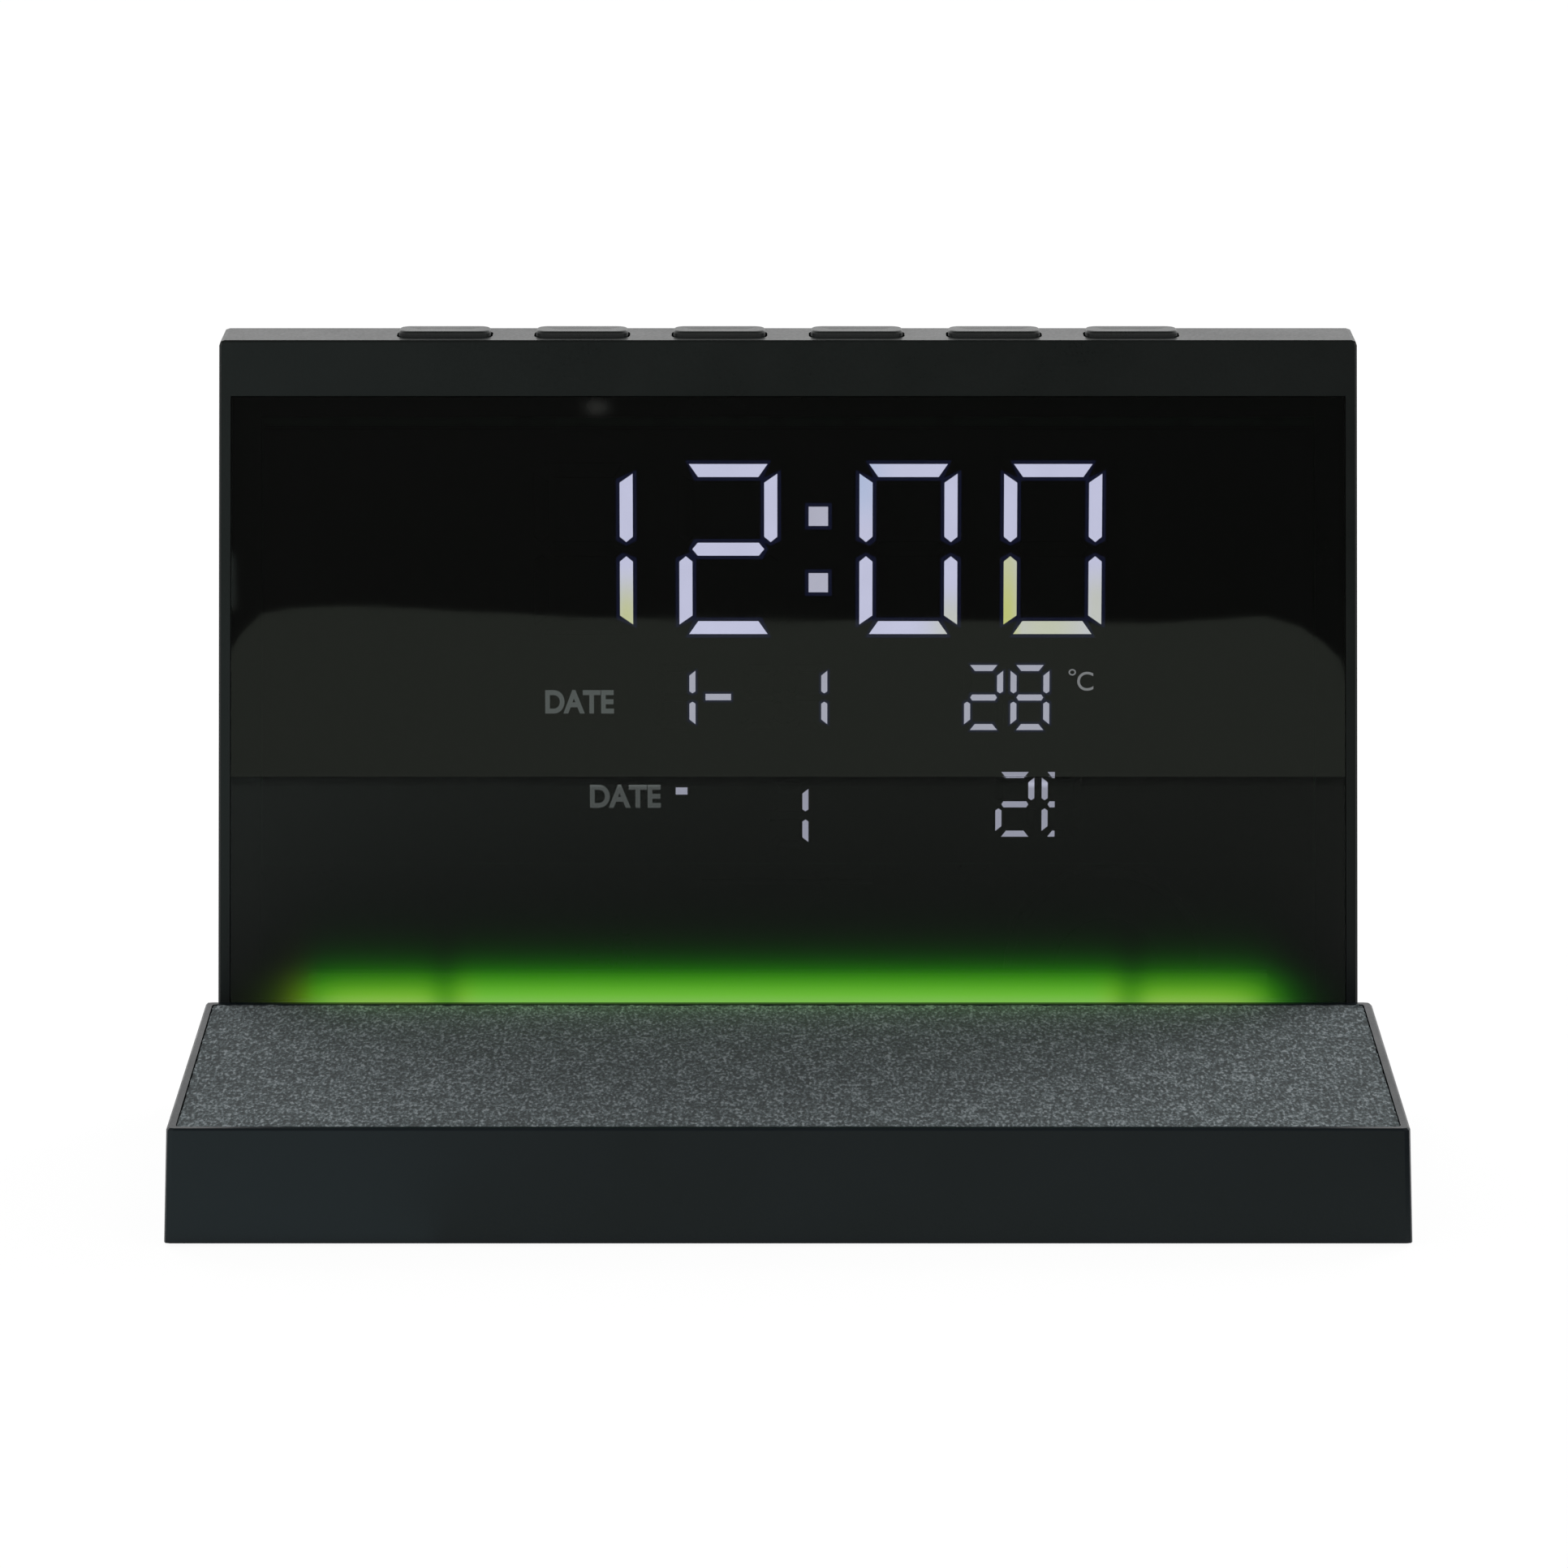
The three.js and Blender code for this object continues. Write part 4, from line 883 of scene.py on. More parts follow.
def quarter_round(out: float, top: float, radius: float) -> Points:
    """A rounded edge's section from its side to its top: (out - r + r cos a, top - r + r sin a)."""
    angle = np.radians(np.linspace(0, 90, 6))
    return np.column_stack([np.cos(angle), np.sin(angle)]) * radius + (out - radius, top - radius)


def turned(profile: Points, sides: int) -> Points:
    """Turns a profile about the z axis: (r cos a, r sin a, z).

    Args:
        profile: Rows of (radius, z).
        sides: How many points each ring has.

    Returns:
        The rings as [ring, step, xyz].
    """
    angle = np.linspace(0, 2 * math.pi, sides, endpoint=False)
    circle = np.stack([np.cos(angle), np.sin(angle), np.zeros(sides)], axis=-1)
    rings = profile[:, None, :1] * circle[None]
    rings[..., 2] += profile[:, 1:2]
    return rings


def prisms(name: str, outlines: Iterable[Points], front: float, back: float, finish: Finish) -> Piece:
    """Makes one piece of straight-sided bodies, each with a fan on each end and two triangles to a side.

    Args:
        name: The piece's name.
        outlines: The (x, z) corners of each body, counter-clockwise as seen from the front.
        front, back: Where they begin and end along y.
        finish: What it is made of.

    Returns:
        The piece.
    """
    points, triangles, first = [], [], 0
    for outline in outlines:
        corners = len(outline)
        step = np.arange(corners)
        beside = (step + 1) % corners
        fan = np.stack([np.zeros(corners - 2, dtype=int), step[1:-1], step[2:]], axis=-1)
        halves = [(step, step + corners, beside), (beside, step + corners, beside + corners)]
        sides = [np.stack(half, axis=-1) for half in halves]
        points += [np.insert(outline, 1, y, axis=1) for y in (front, back)]
        triangles.append(np.vstack([fan, fan[:, ::-1] + corners, *sides]) + first)
        first += 2 * corners
    return mesh_piece(name, np.vstack(points), np.vstack(triangles), finish, smooth=False)


def fuzz(count: int, reach: float, seed: int) -> Points:
    """Smooth random offsets round a closed loop: the mean of each random value and its two neighbours."""
    rough = np.random.default_rng(seed).uniform(-reach, reach, count)
    return (np.roll(rough, 1) + rough * 2 + np.roll(rough, -1)) / 4


# Sub-assemblies

Dressing = Mapping[Finish, Sequence[str]]
Row = Sequence[tuple[str, float]]


@dataclass
class SubAssembly:
    """What every sub-assembly does: it dresses its CAD pieces and adds pieces of its own."""

    frame: Mapping[str, Any]
    body: str = "clock_body"
    dressing: ClassVar[Dressing] = {}

    def dress(self) -> None:
        """Gives each CAD piece of the sub-assembly its finish."""
        for finish, nodes in self.dressing.items():
            for name in nodes:
                for slot in self.frame["nodes"][name].material_slots:
                    slot.material = finish.material()
                LOG.info("dressed %s in %s", name, finish.value.name)

    def add(self, piece: Piece, slot: str, *nodes: str, body: str = "") -> None:
        """Makes a new piece part of the clock.

        Args:
            piece: The new piece, in place.
            slot: The material slot in the record that its finish belongs to. It is not used.
            nodes: The CAD pieces that it stands for.
            body: The body that it rides on, if not the sub-assembly's own.
        """
        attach(piece, body or self.body)
        if nodes:
            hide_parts(*nodes)
        LOG.info("made %s", piece.name)


class Bar(Enum):
    """The bars of a seven-segment digit, as (side, end): -1 is left or lower and 1 right or upper."""

    TOP = (0, 1)
    MIDDLE = (0, 0)
    BOTTOM = (0, -1)
    UPPER_LEFT = (-1, 1)
    UPPER_RIGHT = (1, 1)
    LOWER_LEFT = (-1, -1)
    LOWER_RIGHT = (1, -1)


NUMERALS: Mapping[str, Sequence[Bar]] = {
    "0": (Bar.TOP, Bar.BOTTOM, Bar.UPPER_LEFT, Bar.UPPER_RIGHT, Bar.LOWER_LEFT, Bar.LOWER_RIGHT),
    "1": (Bar.UPPER_RIGHT, Bar.LOWER_RIGHT),
    "2": (Bar.TOP, Bar.UPPER_RIGHT, Bar.MIDDLE, Bar.LOWER_LEFT, Bar.BOTTOM),
    "8": tuple(Bar),
}


@dataclass(frozen=True)
class DigitStyle:
    """The proportions of one size of digit.

    outer and inner say where a bar's long and short edges start, counted from the digit's corner. gap and
    point give the upright bars' ends at the digit's waist.
    """

    width: float
    height: float
    thick: float
    outer: float
    inner: float
    gap: float
    point: float

    def bar(self, bar: Bar, x: float, foot: float) -> Points:
        """One bar's corners, counter-clockwise.

        They are written down clockwise for an upper right bar, and mirrored to the bar's own side and end.

        Args:
            bar: Which bar.
            x: The digit's middle.
            foot: The height of its lower edge.

        Returns:
            Rows of (x, z).
        """
        side, waist, half = self.width / 2, self.height / 2, self.thick / 2
        near, shoulder, flat = side - self.thick, self.gap + self.point, side - self.thick - self.point
        hand, end = bar.value
        if bar is Bar.MIDDLE:
            corners = [(-near, 0), (-flat, half), (flat, half), (near, 0), (flat, -half), (-flat, -half)]
        elif hand == 0:
            long, short, low = side - self.outer, side - self.inner, waist - self.thick
            corners = [(-long, waist), (long, waist), (short, low), (-short, low)]
        else:
            corners = [
                (side, waist - self.outer),
                (side, shoulder),
                (side - half, self.gap),
                (near, shoulder),
                (near, waist - self.inner),
            ]
        mirror = (hand or 1, end or 1)
        placed = np.array(corners) * mirror + (x, foot + waist)
        return placed[::-1] if mirror[0] * mirror[1] > 0 else placed

    def row(self, numerals: Row, foot: float) -> list[Points]:
        """The lit bars of numerals on one line, each given with its middle."""
        return [self.bar(bar, x, foot) for sign, x in numerals for bar in NUMERALS[sign]]


def box_outline(x: float, z: float, width: float, height: float) -> Points:
    """The corners of an upright rectangle around a middle, counter-clockwise."""
    corners = np.array([(-1, -1), (1, -1), (1, 1), (-1, 1)]) * (width / 2, height / 2)
    return corners + (x, z)


def widened(bars: Iterable[Points], reach: float) -> list[Points]:
    """Bars whose corners are each moved away from the bar's middle, by a reach along x and z."""
    return [bar + np.sign(bar - bar.mean(axis=0)) * reach for bar in bars]


@dataclass
class Display(SubAssembly):
    """The lit bars, and the dim words beside them."""

    large: DigitStyle = DigitStyle(14.55, 25.6, 1.94, 1.45, 2.8, 1.07, 0.8)
    small: DigitStyle = DigitStyle(5.8, 9.85, 0.9, 0.88, 1.6, 0.64, 0.3)
    face: float = 35.2
    proud: float = 0.08
    halo: float = 0.55
    small_halo: float = 0.33
    time: Row = (("1", -30.325), ("2", -8.875), ("0", 17.875), ("0", 39.325))
    time_foot: float = 73.0
    colon: Sequence[float] = (80.75, 90.75)
    colon_x: float = 4.5
    colon_size: float = 2.88
    date: Row = (("1", -16.7), ("1", 2.95), ("2", 29.15), ("8", 36.05))
    date_foot: float = 58.45
    date_dash: Box = (-10.4, 63.45, 3.8, 0.95)
    second_day: Row = (("1", 0.15),)
    second_day_foot: float = 40.5
    second_dash: Box = (-15.9, 49.15, 1.75, 1.05)
    second: Row = (("2", 33.9), ("8", 40.8))
    second_foot: float = 42.2
    second_reach: float = 39.85
    narrowest: float = 0.2
    dressing: ClassVar[Dressing] = {
        Finish.BLACK: ("display_reflector", "light_sensor", "temperature_sensor"),
        Finish.UNLIT: ("segment_diffuser",),
    }

    def light(self, name: str, bars: Sequence[Points], finish: Finish, sunk: float = 0.0) -> None:
        """Lays lit faces over bars of the display.

        Args:
            name: The piece's name.
            bars: The bars' outlines.
            finish: How they shine.
            sunk: How far behind the bars' faces they lie.
        """
        front = self.face - self.proud + sunk
        self.add(prisms(name, bars, front, self.face + self.proud, finish), "milky_resin")

    def word(self, name: str, text: str, place: Box, finish: Finish, boldness: float = 0.034) -> None:
        """Makes a dim word or sign, fitted to its place on the display.

        Args:
            name: The piece's name.
            text: What it says.
            place: The left, right, low and high edges of the place that it fills.
            finish: How it shines.
            boldness: How much its strokes are thickened, as a share of the letters' size.
        """
        curve = bpy.data.curves.new(name, "FONT")
        curve.body = text
        curve.extrude = 0.02
        curve.offset = boldness
        writing = bpy.data.objects.new(name + "_curve", curve)
        mesh = bpy.data.meshes.new_from_object(writing)
        bpy.data.objects.remove(writing)
        flat = np.empty(len(mesh.vertices) * 3)
        mesh.vertices.foreach_get("co", flat)
        flat = flat.reshape(-1, 3)
        lowest, highest = flat.min(axis=0), flat.max(axis=0)
        share = (flat - lowest) / (highest - lowest)
        left, right, low, high = place
        placed = np.column_stack([
            left + share[:, 0] * (right - left),
            self.face - share[:, 2] * self.proud,
            low + share[:, 1] * (high - low),
        ])
        mesh.vertices.foreach_set("co", (placed * MM).ravel())
        mesh.name = name
        mesh.materials.clear()
        mesh.materials.append(finish.material())
        self.add(new_object(name, mesh), "milky_resin")

    def build(self) -> None:
        """Lights the time, the date and the row behind the satin panel."""
        digits = self.large.row(self.time, self.time_foot)
        dots = [box_outline(self.colon_x, z, self.colon_size, self.colon_size) for z in self.colon]
        date = [*self.small.row(self.date, self.date_foot), box_outline(*self.date_dash)]
        second = self.small.row(self.second_day, self.second_day_foot) + [box_outline(*self.second_dash)]
        second += self.small.row(self.second, self.second_foot)
        clipped = [np.column_stack([np.minimum(bar[:, 0], self.second_reach), bar[:, 1]]) for bar in second]
        seen = [bar for bar in clipped if np.ptp(bar[:, 0]) > self.narrowest]
        around = widened([*digits, *dots], self.halo) + widened(date, self.small_halo)
        self.light("lit_time", digits, Finish.TIME)
        self.light("lit_colon", dots, Finish.COLON)
        self.light("lit_date", date, Finish.DATE)
        self.light("light_halo", around, Finish.HALO, self.proud / 2)
        self.light("lit_second_row", seen, Finish.SECOND)
        self.word("date_word", "DATE", (-36.2, -25.95, 60.95, 64.5), Finish.LABEL)
        self.word("second_date_word", "DATE", (-29.6, -19.0, 46.6, 50.1), Finish.FAINT)
        self.word("degree_ring", "°", (41.8, 42.9, 66.72, 67.68), Finish.SIGN, 0.0)
        self.word("degree_letter", "C", (43.1, 45.5, 64.42, 67.26), Finish.SIGN, 0.0)


def screw_places() -> Mapping[str, Place]:
    """Where the visible screws are: two pairs on the rear cover, and two under the base.

    Returns:
        The middle of each screw's head, by the screw's name.
    """
    pairs = {
        "rear_cover": ((79.37, 46.65, 112.6), (80.93, 46.65, 5.3)),
        "base": ((78.0, -36.75, 0.7), (78.0, 24.25, 0.7)),
    }
    return {
        f"{part}_screw_{2 * row + number}": (side * x, y, z)
        for part, ends in pairs.items()
        for row, (x, y, z) in enumerate(ends)
        for number, side in ((1, 1), (2, -1))
    }


@dataclass
class ScrewSet(SubAssembly):
    """Screws with cross recesses in their heads."""

    head_radius: float = 2.4
    head_height: float = 1.1
    dome: float = 0.35
    shank_radius: float = 1.2
    shank_length: float = 8.0
    tip: float = 0.8
    recess_depth: float = 0.75
    recess_reach: float = 1.35
    recess_half_width: float = 0.3
    wall_slope: float = 0.16
    end_slope: float = 0.3
    places: Mapping[str, Place] = field(default_factory=screw_places)

    def shape(self) -> Points:
        """The screw's rings, pointing down z with the head's top at z = 0.

        The head is a low dome: z = -dome (r / R) to the power 4. The cross is sunk where the smaller of |x|
        and |y| is under the arm's half width and the larger is under its reach, with slightly sloping walls.

        Returns:
            Rings as [ring, step, xyz].
        """
        radii = np.concatenate([np.linspace(0.03, 1.5, 17), np.linspace(1.7, self.head_radius, 6)])
        top = turned(np.column_stack([radii, np.zeros(len(radii))]), 64)
        small, large = np.sort(np.abs(top[..., :2]), axis=2).transpose(2, 0, 1)
        arm = np.clip((self.recess_half_width + self.wall_slope / 2 - small) / self.wall_slope, 0, 1)
        reach = np.clip((self.recess_reach + self.end_slope / 2 - large) / self.end_slope, 0, 1)
        dome = -self.dome * (radii[:, None] / self.head_radius) ** 4
        top[..., 2] = dome - arm * reach * self.recess_depth
        below = np.array([
            (self.head_radius, -self.head_height),
            (self.shank_radius, -self.head_height),
            (self.shank_radius, self.tip - self.head_height - self.shank_length),
            (0.1, -self.head_height - self.shank_length),
        ])
        return np.concatenate([top, turned(below, 64)])

    def build(self) -> None:
        """Puts a screw at each place, upside down under the base and pointing forwards at the back."""
        rings = self.shape()
        for name, place in self.places.items():
            if name.startswith("base"):
                placed = rings * (1, -1, -1) + place
            else:
                placed = rings[..., [0, 2, 1]] * (1, 1, -1) + place
            self.add(skin(name.replace("screw", "cross_screw"), placed[::-1], Finish.STEEL), "steel", name)


@dataclass
class Tower(SubAssembly):
    """The upright part: housing, panels, cover, door and inlet.

    shell and tongue give the half width, half height and corner radius of those parts of the inlet.
    """

    inlet_x: float = -58.0
    inlet_z: float = 7.825
    inlet_back: float = 46.6
    inlet_length: float = 7.3
    shell: Sequence[float] = (4.45, 1.625, 1.6)
    tongue: Sequence[float] = (3.3, 0.35, 0.15)
    contact_pitch: float = 0.5
    contact_height: float = 0.37
    contact_size: Pair = (0.26, 0.08)
    grip_heights: Sequence[float] = (23.2, 24.6, 26.0)
    grip_size: Pair = (7.0, 0.55)
    grip_depths: Pair = (46.65, 46.98)
    dressing: ClassVar[Dressing] = {
        Finish.HOUSING: ("tower_housing", "rear_cover", "battery_door"),
        Finish.WINDOW: ("display_window",),
        Finish.PANEL: ("lamp_panel",),
        Finish.BOARD: ("display_board", "button_board", "lamp_board", "power_board"),
        Finish.LAMP: ("light_bar",),
        Finish.BLACK: ("speaker",),
        Finish.FOAM: ("speaker_gasket",),
        Finish.BRASS: ("cell_contact",),
        Finish.STEEL: (
            "coin_cell",
            *(f"joint_screw_{number}" for number in (1, 2)),
            *(f"display_screw_{number}" for number in (1, 2, 3, 4)),
        ),
    }

    def inlet_rings(self, size: Sequence[float], profile: Sequence[Pair]) -> Points:
        """A part of the inlet: rows of (out, y) carried round the inlet's middle."""
        rings = carried(rounded_loop(*size, 0.8), np.array(profile))
        return rings[..., [0, 2, 1]] * (-1, 1, 1) + (self.inlet_x, 0, self.inlet_z)

    def inlet(self) -> None:
        """The power inlet: a drawn steel shell, a black tongue in it, and gilt contacts on the tongue."""
        back, front = self.inlet_back, self.inlet_back - self.inlet_length
        shell = self.inlet_rings(self.shell, [
            (0.2, front), (1.6, front + 0.3), (1.6, back - 0.15), (1.5, back),
            (1.3, back), (1.2, back - 0.15), (1.2, back - 6.2), (0.2, back - 6.2),
        ])
        self.add(skin("inlet_shell", shell, Finish.STEEL), "steel", "power_socket")
        tongue = self.inlet_rings(self.tongue, [(0.15, back - 6.3), (0.15, back - 1.75), (0.08, back - 1.6)])
        self.add(skin("inlet_tongue", tongue, Finish.BLACK), "black_plastic")
        outlines = [
            box_outline(self.inlet_x + step * self.contact_pitch, self.inlet_z + height, *self.contact_size)
            for step in range(-5, 6)
            for height in (-self.contact_height, self.contact_height)
        ]
        self.add(prisms("inlet_contacts", outlines, back - 6.0, back - 2.0, Finish.CONTACT), "brass")

    def door_grip(self) -> None:
        """Three low ribs near the door's upper edge, for a fingertip."""
        outlines = [box_outline(0.0, z, *self.grip_size) for z in self.grip_heights]
        piece = prisms("door_grip", outlines, *self.grip_depths, Finish.HOUSING)
        self.add(piece, "moulded_plastic", body="door")

    def build(self) -> None:
        """Details the back."""
        self.inlet()
        self.door_grip()


@dataclass
class Buttons(SubAssembly):
    """The six push buttons on top."""

    count: int = 6
    pitch: float = 20.35
    middle_y: float = 39.75
    half_width: float = 6.8
    half_depth: float = 3.0
    corner: float = 1.8
    edge: float = 0.45
    dish: float = 0.12
    top: float = 118.2
    flange: float = 0.5
    flange_top: float = 115.1
    flange_foot: float = 113.9

    def profile(self) -> Points:
        """The section of a button from its flange's underside to the middle of its cap.

        The cap's edge is a quarter round, and its face is a shallow dish that sinks as
        dish (1 - cos) towards the middle.

        Returns:
            Rows of (out from the corner arcs' middles, z).
        """
        rim = self.corner + self.flange
        skirt = [
            (0.6, self.flange_foot),
            (rim, self.flange_foot),
            (rim, self.flange_top),
            (self.corner, self.flange_top),
            (self.corner, self.flange_top + 1.5),
        ]
        share = np.linspace(0.15, 1, 6)
        out = self.corner - self.edge - share * (self.half_depth - self.edge - 0.1)
        face = np.column_stack([out, self.top - self.dish * (1 - np.cos(share * math.pi / 2))])
        return np.vstack([skirt, quarter_round(self.corner, self.top, self.edge), face])

    def build(self) -> None:
        """Makes each button where its CAD piece is, and lets it ride on its own body."""
        loop = rounded_loop(self.half_width, self.half_depth, self.corner, 1.0)
        for number in range(1, self.count + 1):
            x = (number - (self.count + 1) / 2) * self.pitch
            rings = carried(loop, self.profile(), (x, self.middle_y))
            piece = skin(f"push_button_{number}", rings, Finish.BUTTON)
            self.add(piece, "moulded_plastic", f"top_button_{number}", body=f"button_{number}")


@dataclass
class ChargingBase(SubAssembly):
    """The low base: housing, felt pad, coil and feet."""

    middle_y: float = -6.25
    half_width: float = 86.1
    half_depth: float = 38.6
    corner: float = 0.7
    edge: float = 0.25
    top: float = 17.0
    hem: float = 15.45
    felt: float = 0.6
    overhang: float = 0.06
    raggedness: float = 0.11
    waviness: float = 0.09
    insets: Sequence[float] = (0.25, 0.8, 2.0, 6.0, 20.0, 37.6)
    foot_profile: Sequence[Pair] = (
        (0.1, 0.0), (2.6, 0.0), (2.8, 0.15), (3.6, 0.15), (3.8, 0.0), (4.7, 0.0), (4.9, 0.06), (5.0, 0.22),
        (5.0, 0.95), (4.95, 1.0), (0.1, 1.0),
    )
    feet_places: Sequence[tuple[str, float, float]] = (("base", 62.0, -31.25), ("tower", 66.0, 40.25))
    dressing: ClassVar[Dressing] = {
        Finish.BASE: ("base_housing",),
        Finish.BLACK: ("base_bottom", "pad_plate"),
        Finish.COPPER: ("charging_coil",),
        Finish.FERRITE: ("ferrite_disc",),
        Finish.BOARD: ("charger_board",),
        Finish.RIBBON: ("charger_lead",),
    }

    def felt_pad(self) -> None:
        """The felt, drawn over the plate: flat on top, turned down at the edges, with a slightly ragged edge.

        The section is a quarter round between the top and the hem. Each ring near the edge is moved in or
        out by a few hundredths to tenths of a millimetre of smooth random fuzz.
        """
        loop = rounded_loop(self.half_width, self.half_depth, self.corner, 0.45)
        hem = [(self.corner, self.hem), (self.corner, self.top - self.felt)]
        inner = [(self.corner - self.edge - inset, self.top) for inset in self.insets]
        profile = np.vstack([hem, quarter_round(self.corner, self.top, self.edge), inner])
        rings = carried(loop, profile, (0.0, self.middle_y))
        directions = loop[1]
        ragged = fuzz(len(directions), self.raggedness, 3) + self.overhang
        lift = fuzz(len(directions), self.waviness, 5)
        share = np.concatenate([[0.3, 0.8], np.linspace(1, 0.9, 6), [0.7, 0.3, 0, 0, 0, 0]])
        rings[..., :2] += share[:, None, None] * ragged[:, None] * directions
        rings[2:10, :, 2] += share[2:10, None] * lift
        piece = skin("felt_pad", rings, Finish.FELT, start=False)
        solid = piece.modifiers.new("thickness", "SOLIDIFY")
        solid.thickness = self.felt * MM
        solid.offset = -1
        self.add(piece, "pad_fabric", "pad_fabric")

    def feet(self) -> None:
        """Two pairs of rubber feet, each foot with a rounded edge and a shallow ring underneath."""
        rings = turned(np.array(self.foot_profile), 48)
        for part, x, y in self.feet_places:
            for number, side in ((1, 1), (2, -1)):
                piece = skin(f"{part}_rubber_foot_{number}", rings + (side * x, y, 0.0), Finish.RUBBER)
                self.add(piece, "dark_rubber", f"{part}_foot_{number}")

    def build(self) -> None:
        """Lays the felt and adds the feet."""
        self.felt_pad()
        self.feet()


# Studio


@dataclass(frozen=True)
class Lamp:
    """A soft lamp that neither the camera nor the gloss shows. Places and sizes are in metres."""

    name: str
    place: Place
    size: Pair
    watts: float
    aim: Place = (0.0, 0.0, 0.05)
    colour: Colour = WHITE

    def build(self) -> None:
        """Makes the lamp, tilted and turned so that it shines from its place to its aim."""
        data = bpy.data.lights.new(self.name, "AREA")
        data.shape = "RECTANGLE"
        data.size, data.size_y = self.size
        data.energy = self.watts
        data.color = self.colour
        lamp = new_object(self.name, data)
        lamp.location = self.place
        x, y, z = np.subtract(self.place, self.aim)
        lamp.rotation_euler = (math.atan2(math.hypot(x, y), z), 0.0, math.atan2(y, x) + math.pi / 2)
        lamp.visible_glossy = False
        lamp.visible_camera = False


LAMPS = (
    Lamp("key_lamp", (-0.9, -1.3, 1.7), (1.4, 1.4), 9.0),
    Lamp("fill_lamp", (1.3, -1.0, 1.4), (1.4, 1.4), 4.0),
    Lamp("right_back_lamp", (1.1, 1.2, 1.15), (1.0, 1.0), 21.0),
    Lamp("left_back_lamp", (-0.9, 1.4, 1.15), (1.0, 1.0), 15.0),
    Lamp("green_spill", (0.0, 0.0325, 0.0205), (0.138, 0.004), 0.0013, (0.0, 0.0153, 0.0), (0.3, 1.0, 0.08)),
)


def level_piece(name: str, corners: Sequence[Pair], z: float) -> Piece:
    """Makes a level stage piece.

    Args:
        name: The piece's name.
        corners: Its (x, y) corners in metres, counter-clockwise as seen from above.
        z: Its height, in metres.

    Returns:
        The piece.
    """
    mesh = bpy.data.meshes.new(name)
    mesh.from_pydata([(float(x), float(y), z) for x, y in corners], [], [tuple(range(len(corners)))])
    piece = new_object(name, mesh)
    return piece


@dataclass(frozen=True)
class Card:
    """A level card that only the clock's gloss shows. Its corners and height are in metres.

    The corners go counter-clockwise as seen from the side that shines. levels says how bright it is at
    x = -0.1 and at x = 0.1 metres, and past them.
    """

    name: str
    corners: Sequence[Pair]
    z: float
    tint: Colour
    levels: Pair

    def build(self) -> None:
        """Makes the card and its light."""
        card = level_piece(self.name, self.corners, self.z)
        for ray in ("camera", "diffuse", "transmission", "volume_scatter", "shadow"):
            setattr(card, f"visible_{ray}", False)
        shader = Shader(self.name)
        share = shader.axes()[0].rise(-100.0, 100.0)
        shade = shader.blend(share, *(scaled(self.tint, level) for level in self.levels))
        glow = shader.node("ShaderNodeEmission", inputs={"Color": shade, "Strength": 1.0})
        shader.show(glow.outputs["Emission"])
        card.data.materials.append(shader.material)


GREY, GREEN, TEAL = (0.99, 0.99, 0.94), (0.89, 1.0, 0.84), (0.8, 1.0, 0.98)
NEAR_EDGE = (
    (-0.1095, -0.05), (-0.1095, -0.34), (-0.108, -0.373), (-0.1055, -0.392), (-0.1, -0.398),
    (-0.09, -0.4008), (-0.0737, -0.399), (-0.0439, -0.387), (0.0, -0.3835), (0.0696, -0.3824),
    (0.086, -0.385), (0.096, -0.3892), (0.1018, -0.378), (0.1055, -0.36), (0.1078, -0.342), (0.1085, -0.05),
)
SIDE_EDGE = (
    (-0.6, -0.05), (-0.6, -1.3), (-0.185, -1.3), (-0.14, -0.63), (-0.12, -0.3), (-0.115, -0.21),
    (-0.055, -0.19), (-0.05, -0.05),
)
CARDS = (
    Card("far_card", box_outline(0.0, -6.0, 16.0, 11.9), 0.00002, GREY, (0.075, 0.05)),
    Card("near_card", NEAR_EDGE, 0.00004, GREEN, (0.55, 0.55)),
    Card("side_card", SIDE_EDGE, 0.00006, TEAL, (0.9, 0.9)),
    Card("ceiling_card", box_outline(0.0, -1.6, 8.0, 4.8)[::-1], 2.6, GREY, (0.22, 0.18)),
)


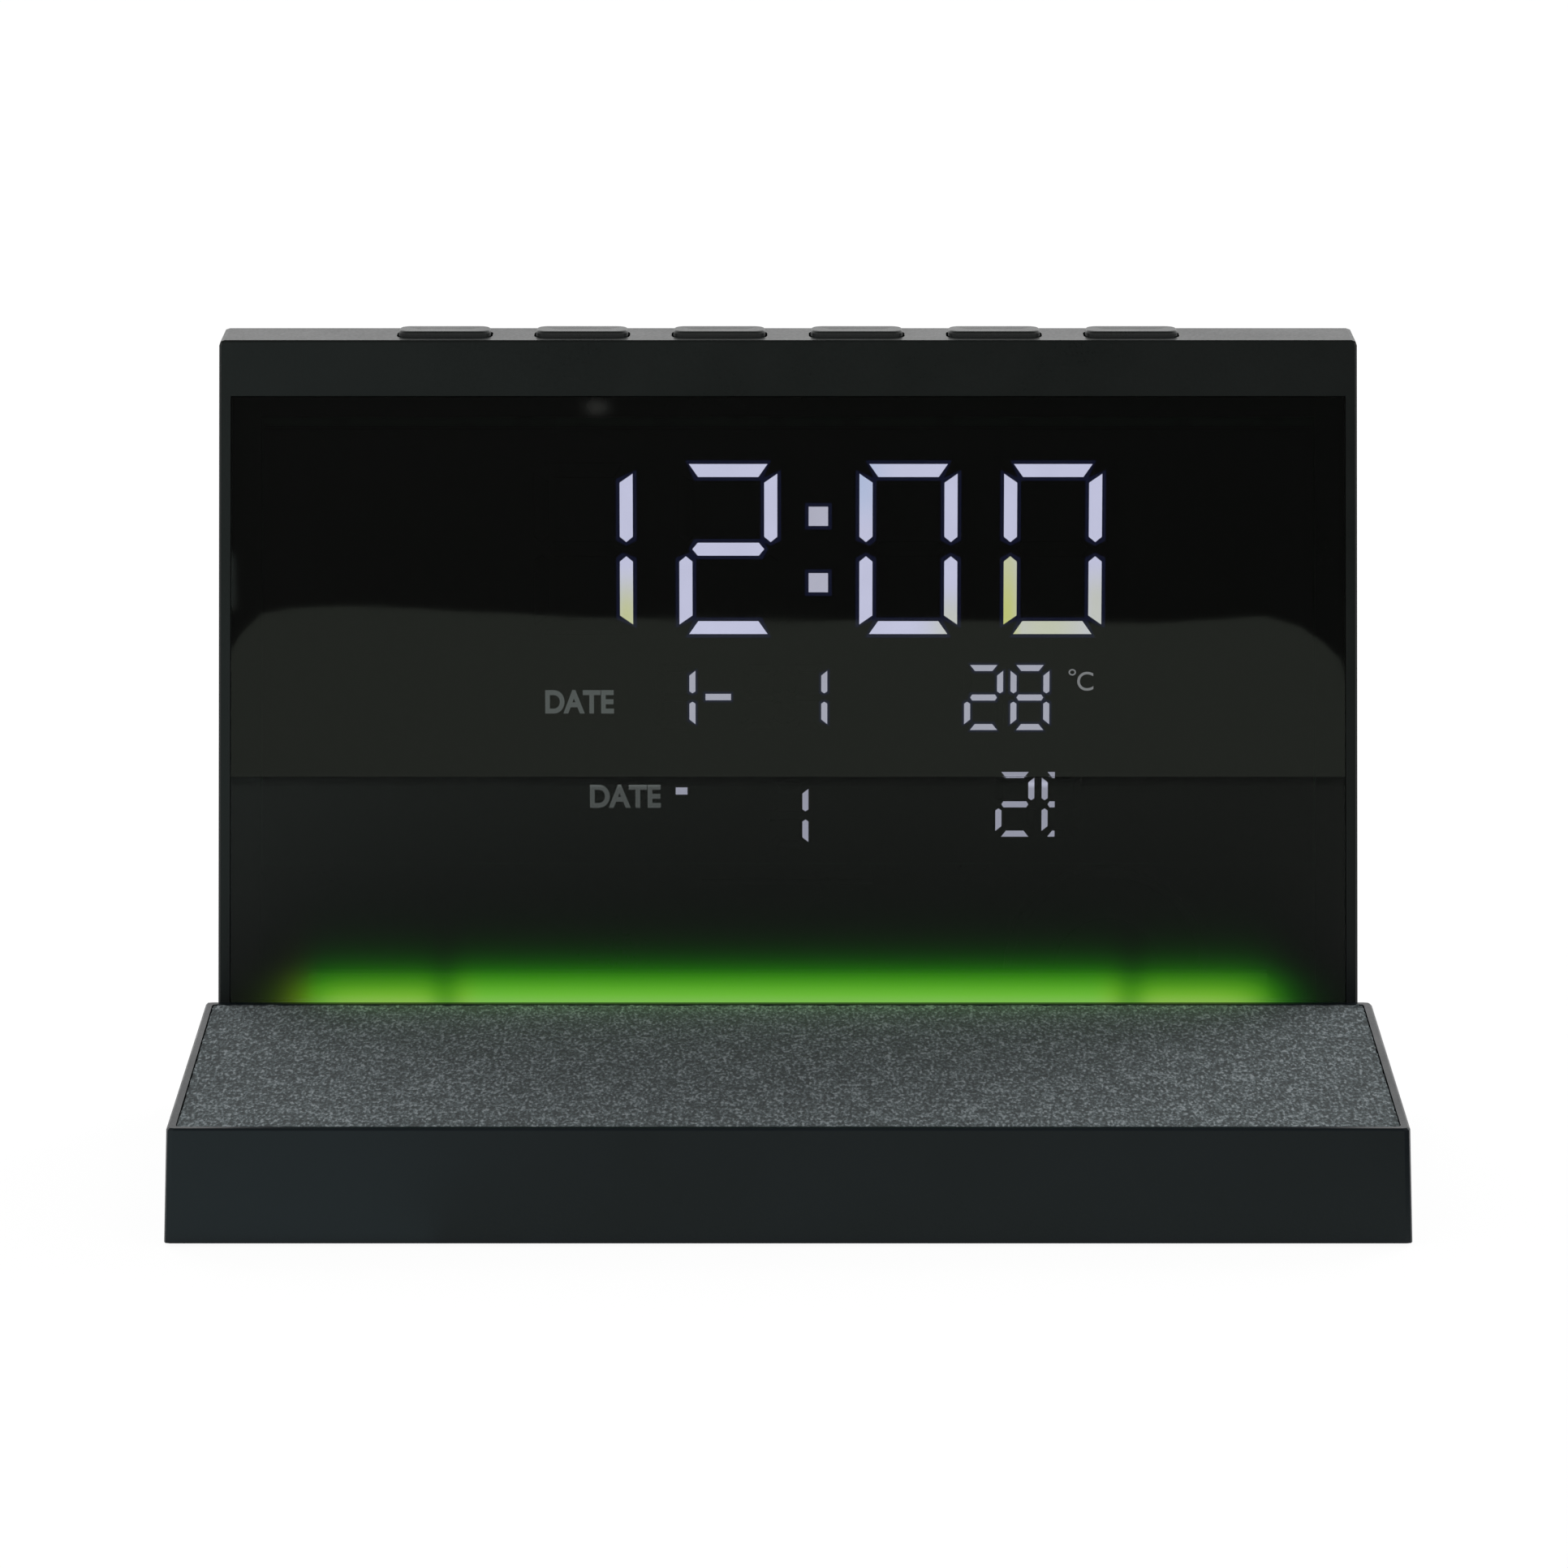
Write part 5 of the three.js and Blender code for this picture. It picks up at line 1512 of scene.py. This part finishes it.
@dataclass
class Studio:
    """The camera, the floor, the cards, the sky and the lamps.

    Places and sizes are in metres, and the camera's lens and sensor in millimetres.
    """

    camera_place: Place = (-0.0006, -1.182465, 0.29395)
    camera_pitch: float = 11.319
    lens: float = 190.85
    sensor: float = 36.0
    floor_size: float = 24.0
    floor_white: float = 1.022
    seen_floor: float = 0.93
    daylight: float = 0.55

    def camera(self) -> None:
        """Puts the camera where the photo was taken from: level, looking a little down."""
        data = bpy.data.cameras.new("camera")
        data.lens = self.lens
        data.sensor_width = self.sensor
        data.clip_end = 20.0
        camera = new_object("camera", data)
        camera.location = self.camera_place
        camera.rotation_euler = (math.radians(90 - self.camera_pitch), 0.0, 0.0)
        bpy.context.scene.camera = camera

    def floor(self) -> None:
        """A pale floor that the camera sees as white, and that keeps the clock's shadow."""
        floor = level_piece("floor", box_outline(0.0, 0.0, self.floor_size, self.floor_size), 0.0)
        shader = Shader("floor_white")
        shader.set(Base_Color=(0.8, 0.8, 0.8), Roughness=1.0, Specular_IOR_Level=0.0)
        seen = shader.node("ShaderNodeLightPath").outputs["Is Camera Ray"]
        light = {"Color": WHITE, "Strength": self.floor_white}
        white = shader.node("ShaderNodeEmission", inputs=light).outputs["Emission"]
        share = Signal(shader, seen) * self.seen_floor
        layers = {0: share, 1: shader.surface.outputs["BSDF"], 2: white}
        shader.show(shader.node("ShaderNodeMixShader", inputs=layers).outputs["Shader"])
        floor.data.materials.append(shader.material)

    def sky(self) -> None:
        """Even light from all round, white where the camera or the gloss looks at it."""
        world = bpy.data.worlds.new("studio")
        nodes = NodeTree(world)
        path = nodes.node("ShaderNodeLightPath").outputs
        rays = [Signal(nodes, path[f"Is {kind} Ray"]) for kind in ("Camera", "Transmission", "Glossy")]
        dim, white = (
            nodes.node("ShaderNodeBackground", inputs={"Color": WHITE, "Strength": level}).outputs[0]
            for level in (self.daylight, 1.0)
        )
        mixed = nodes.node("ShaderNodeMixShader", inputs={0: reduce(Signal.at_least, rays), 1: dim, 2: white})
        nodes.node("ShaderNodeOutputWorld", inputs={"Surface": mixed.outputs["Shader"]})
        bpy.context.scene.world = world

    def build(self) -> None:
        """Sets the whole studio up."""
        bpy.context.scene.view_settings.view_transform = "Standard"
        self.camera()
        self.floor()
        self.sky()
        for thing in (*CARDS, *LAMPS):
            thing.build()
            LOG.info("set up %s", thing.name)


def main() -> None:
    """Loads the frame, builds the studio and each sub-assembly in order."""
    logging.basicConfig(level=logging.INFO, format="%(name)s: %(message)s")
    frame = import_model()
    Studio().build()
    for kind in (Tower, Display, Buttons, ScrewSet, ChargingBase):
        part = kind(frame)
        part.dress()
        part.build()
        LOG.info("built %s", kind.__name__)


if __name__ == "__main__":
    main()
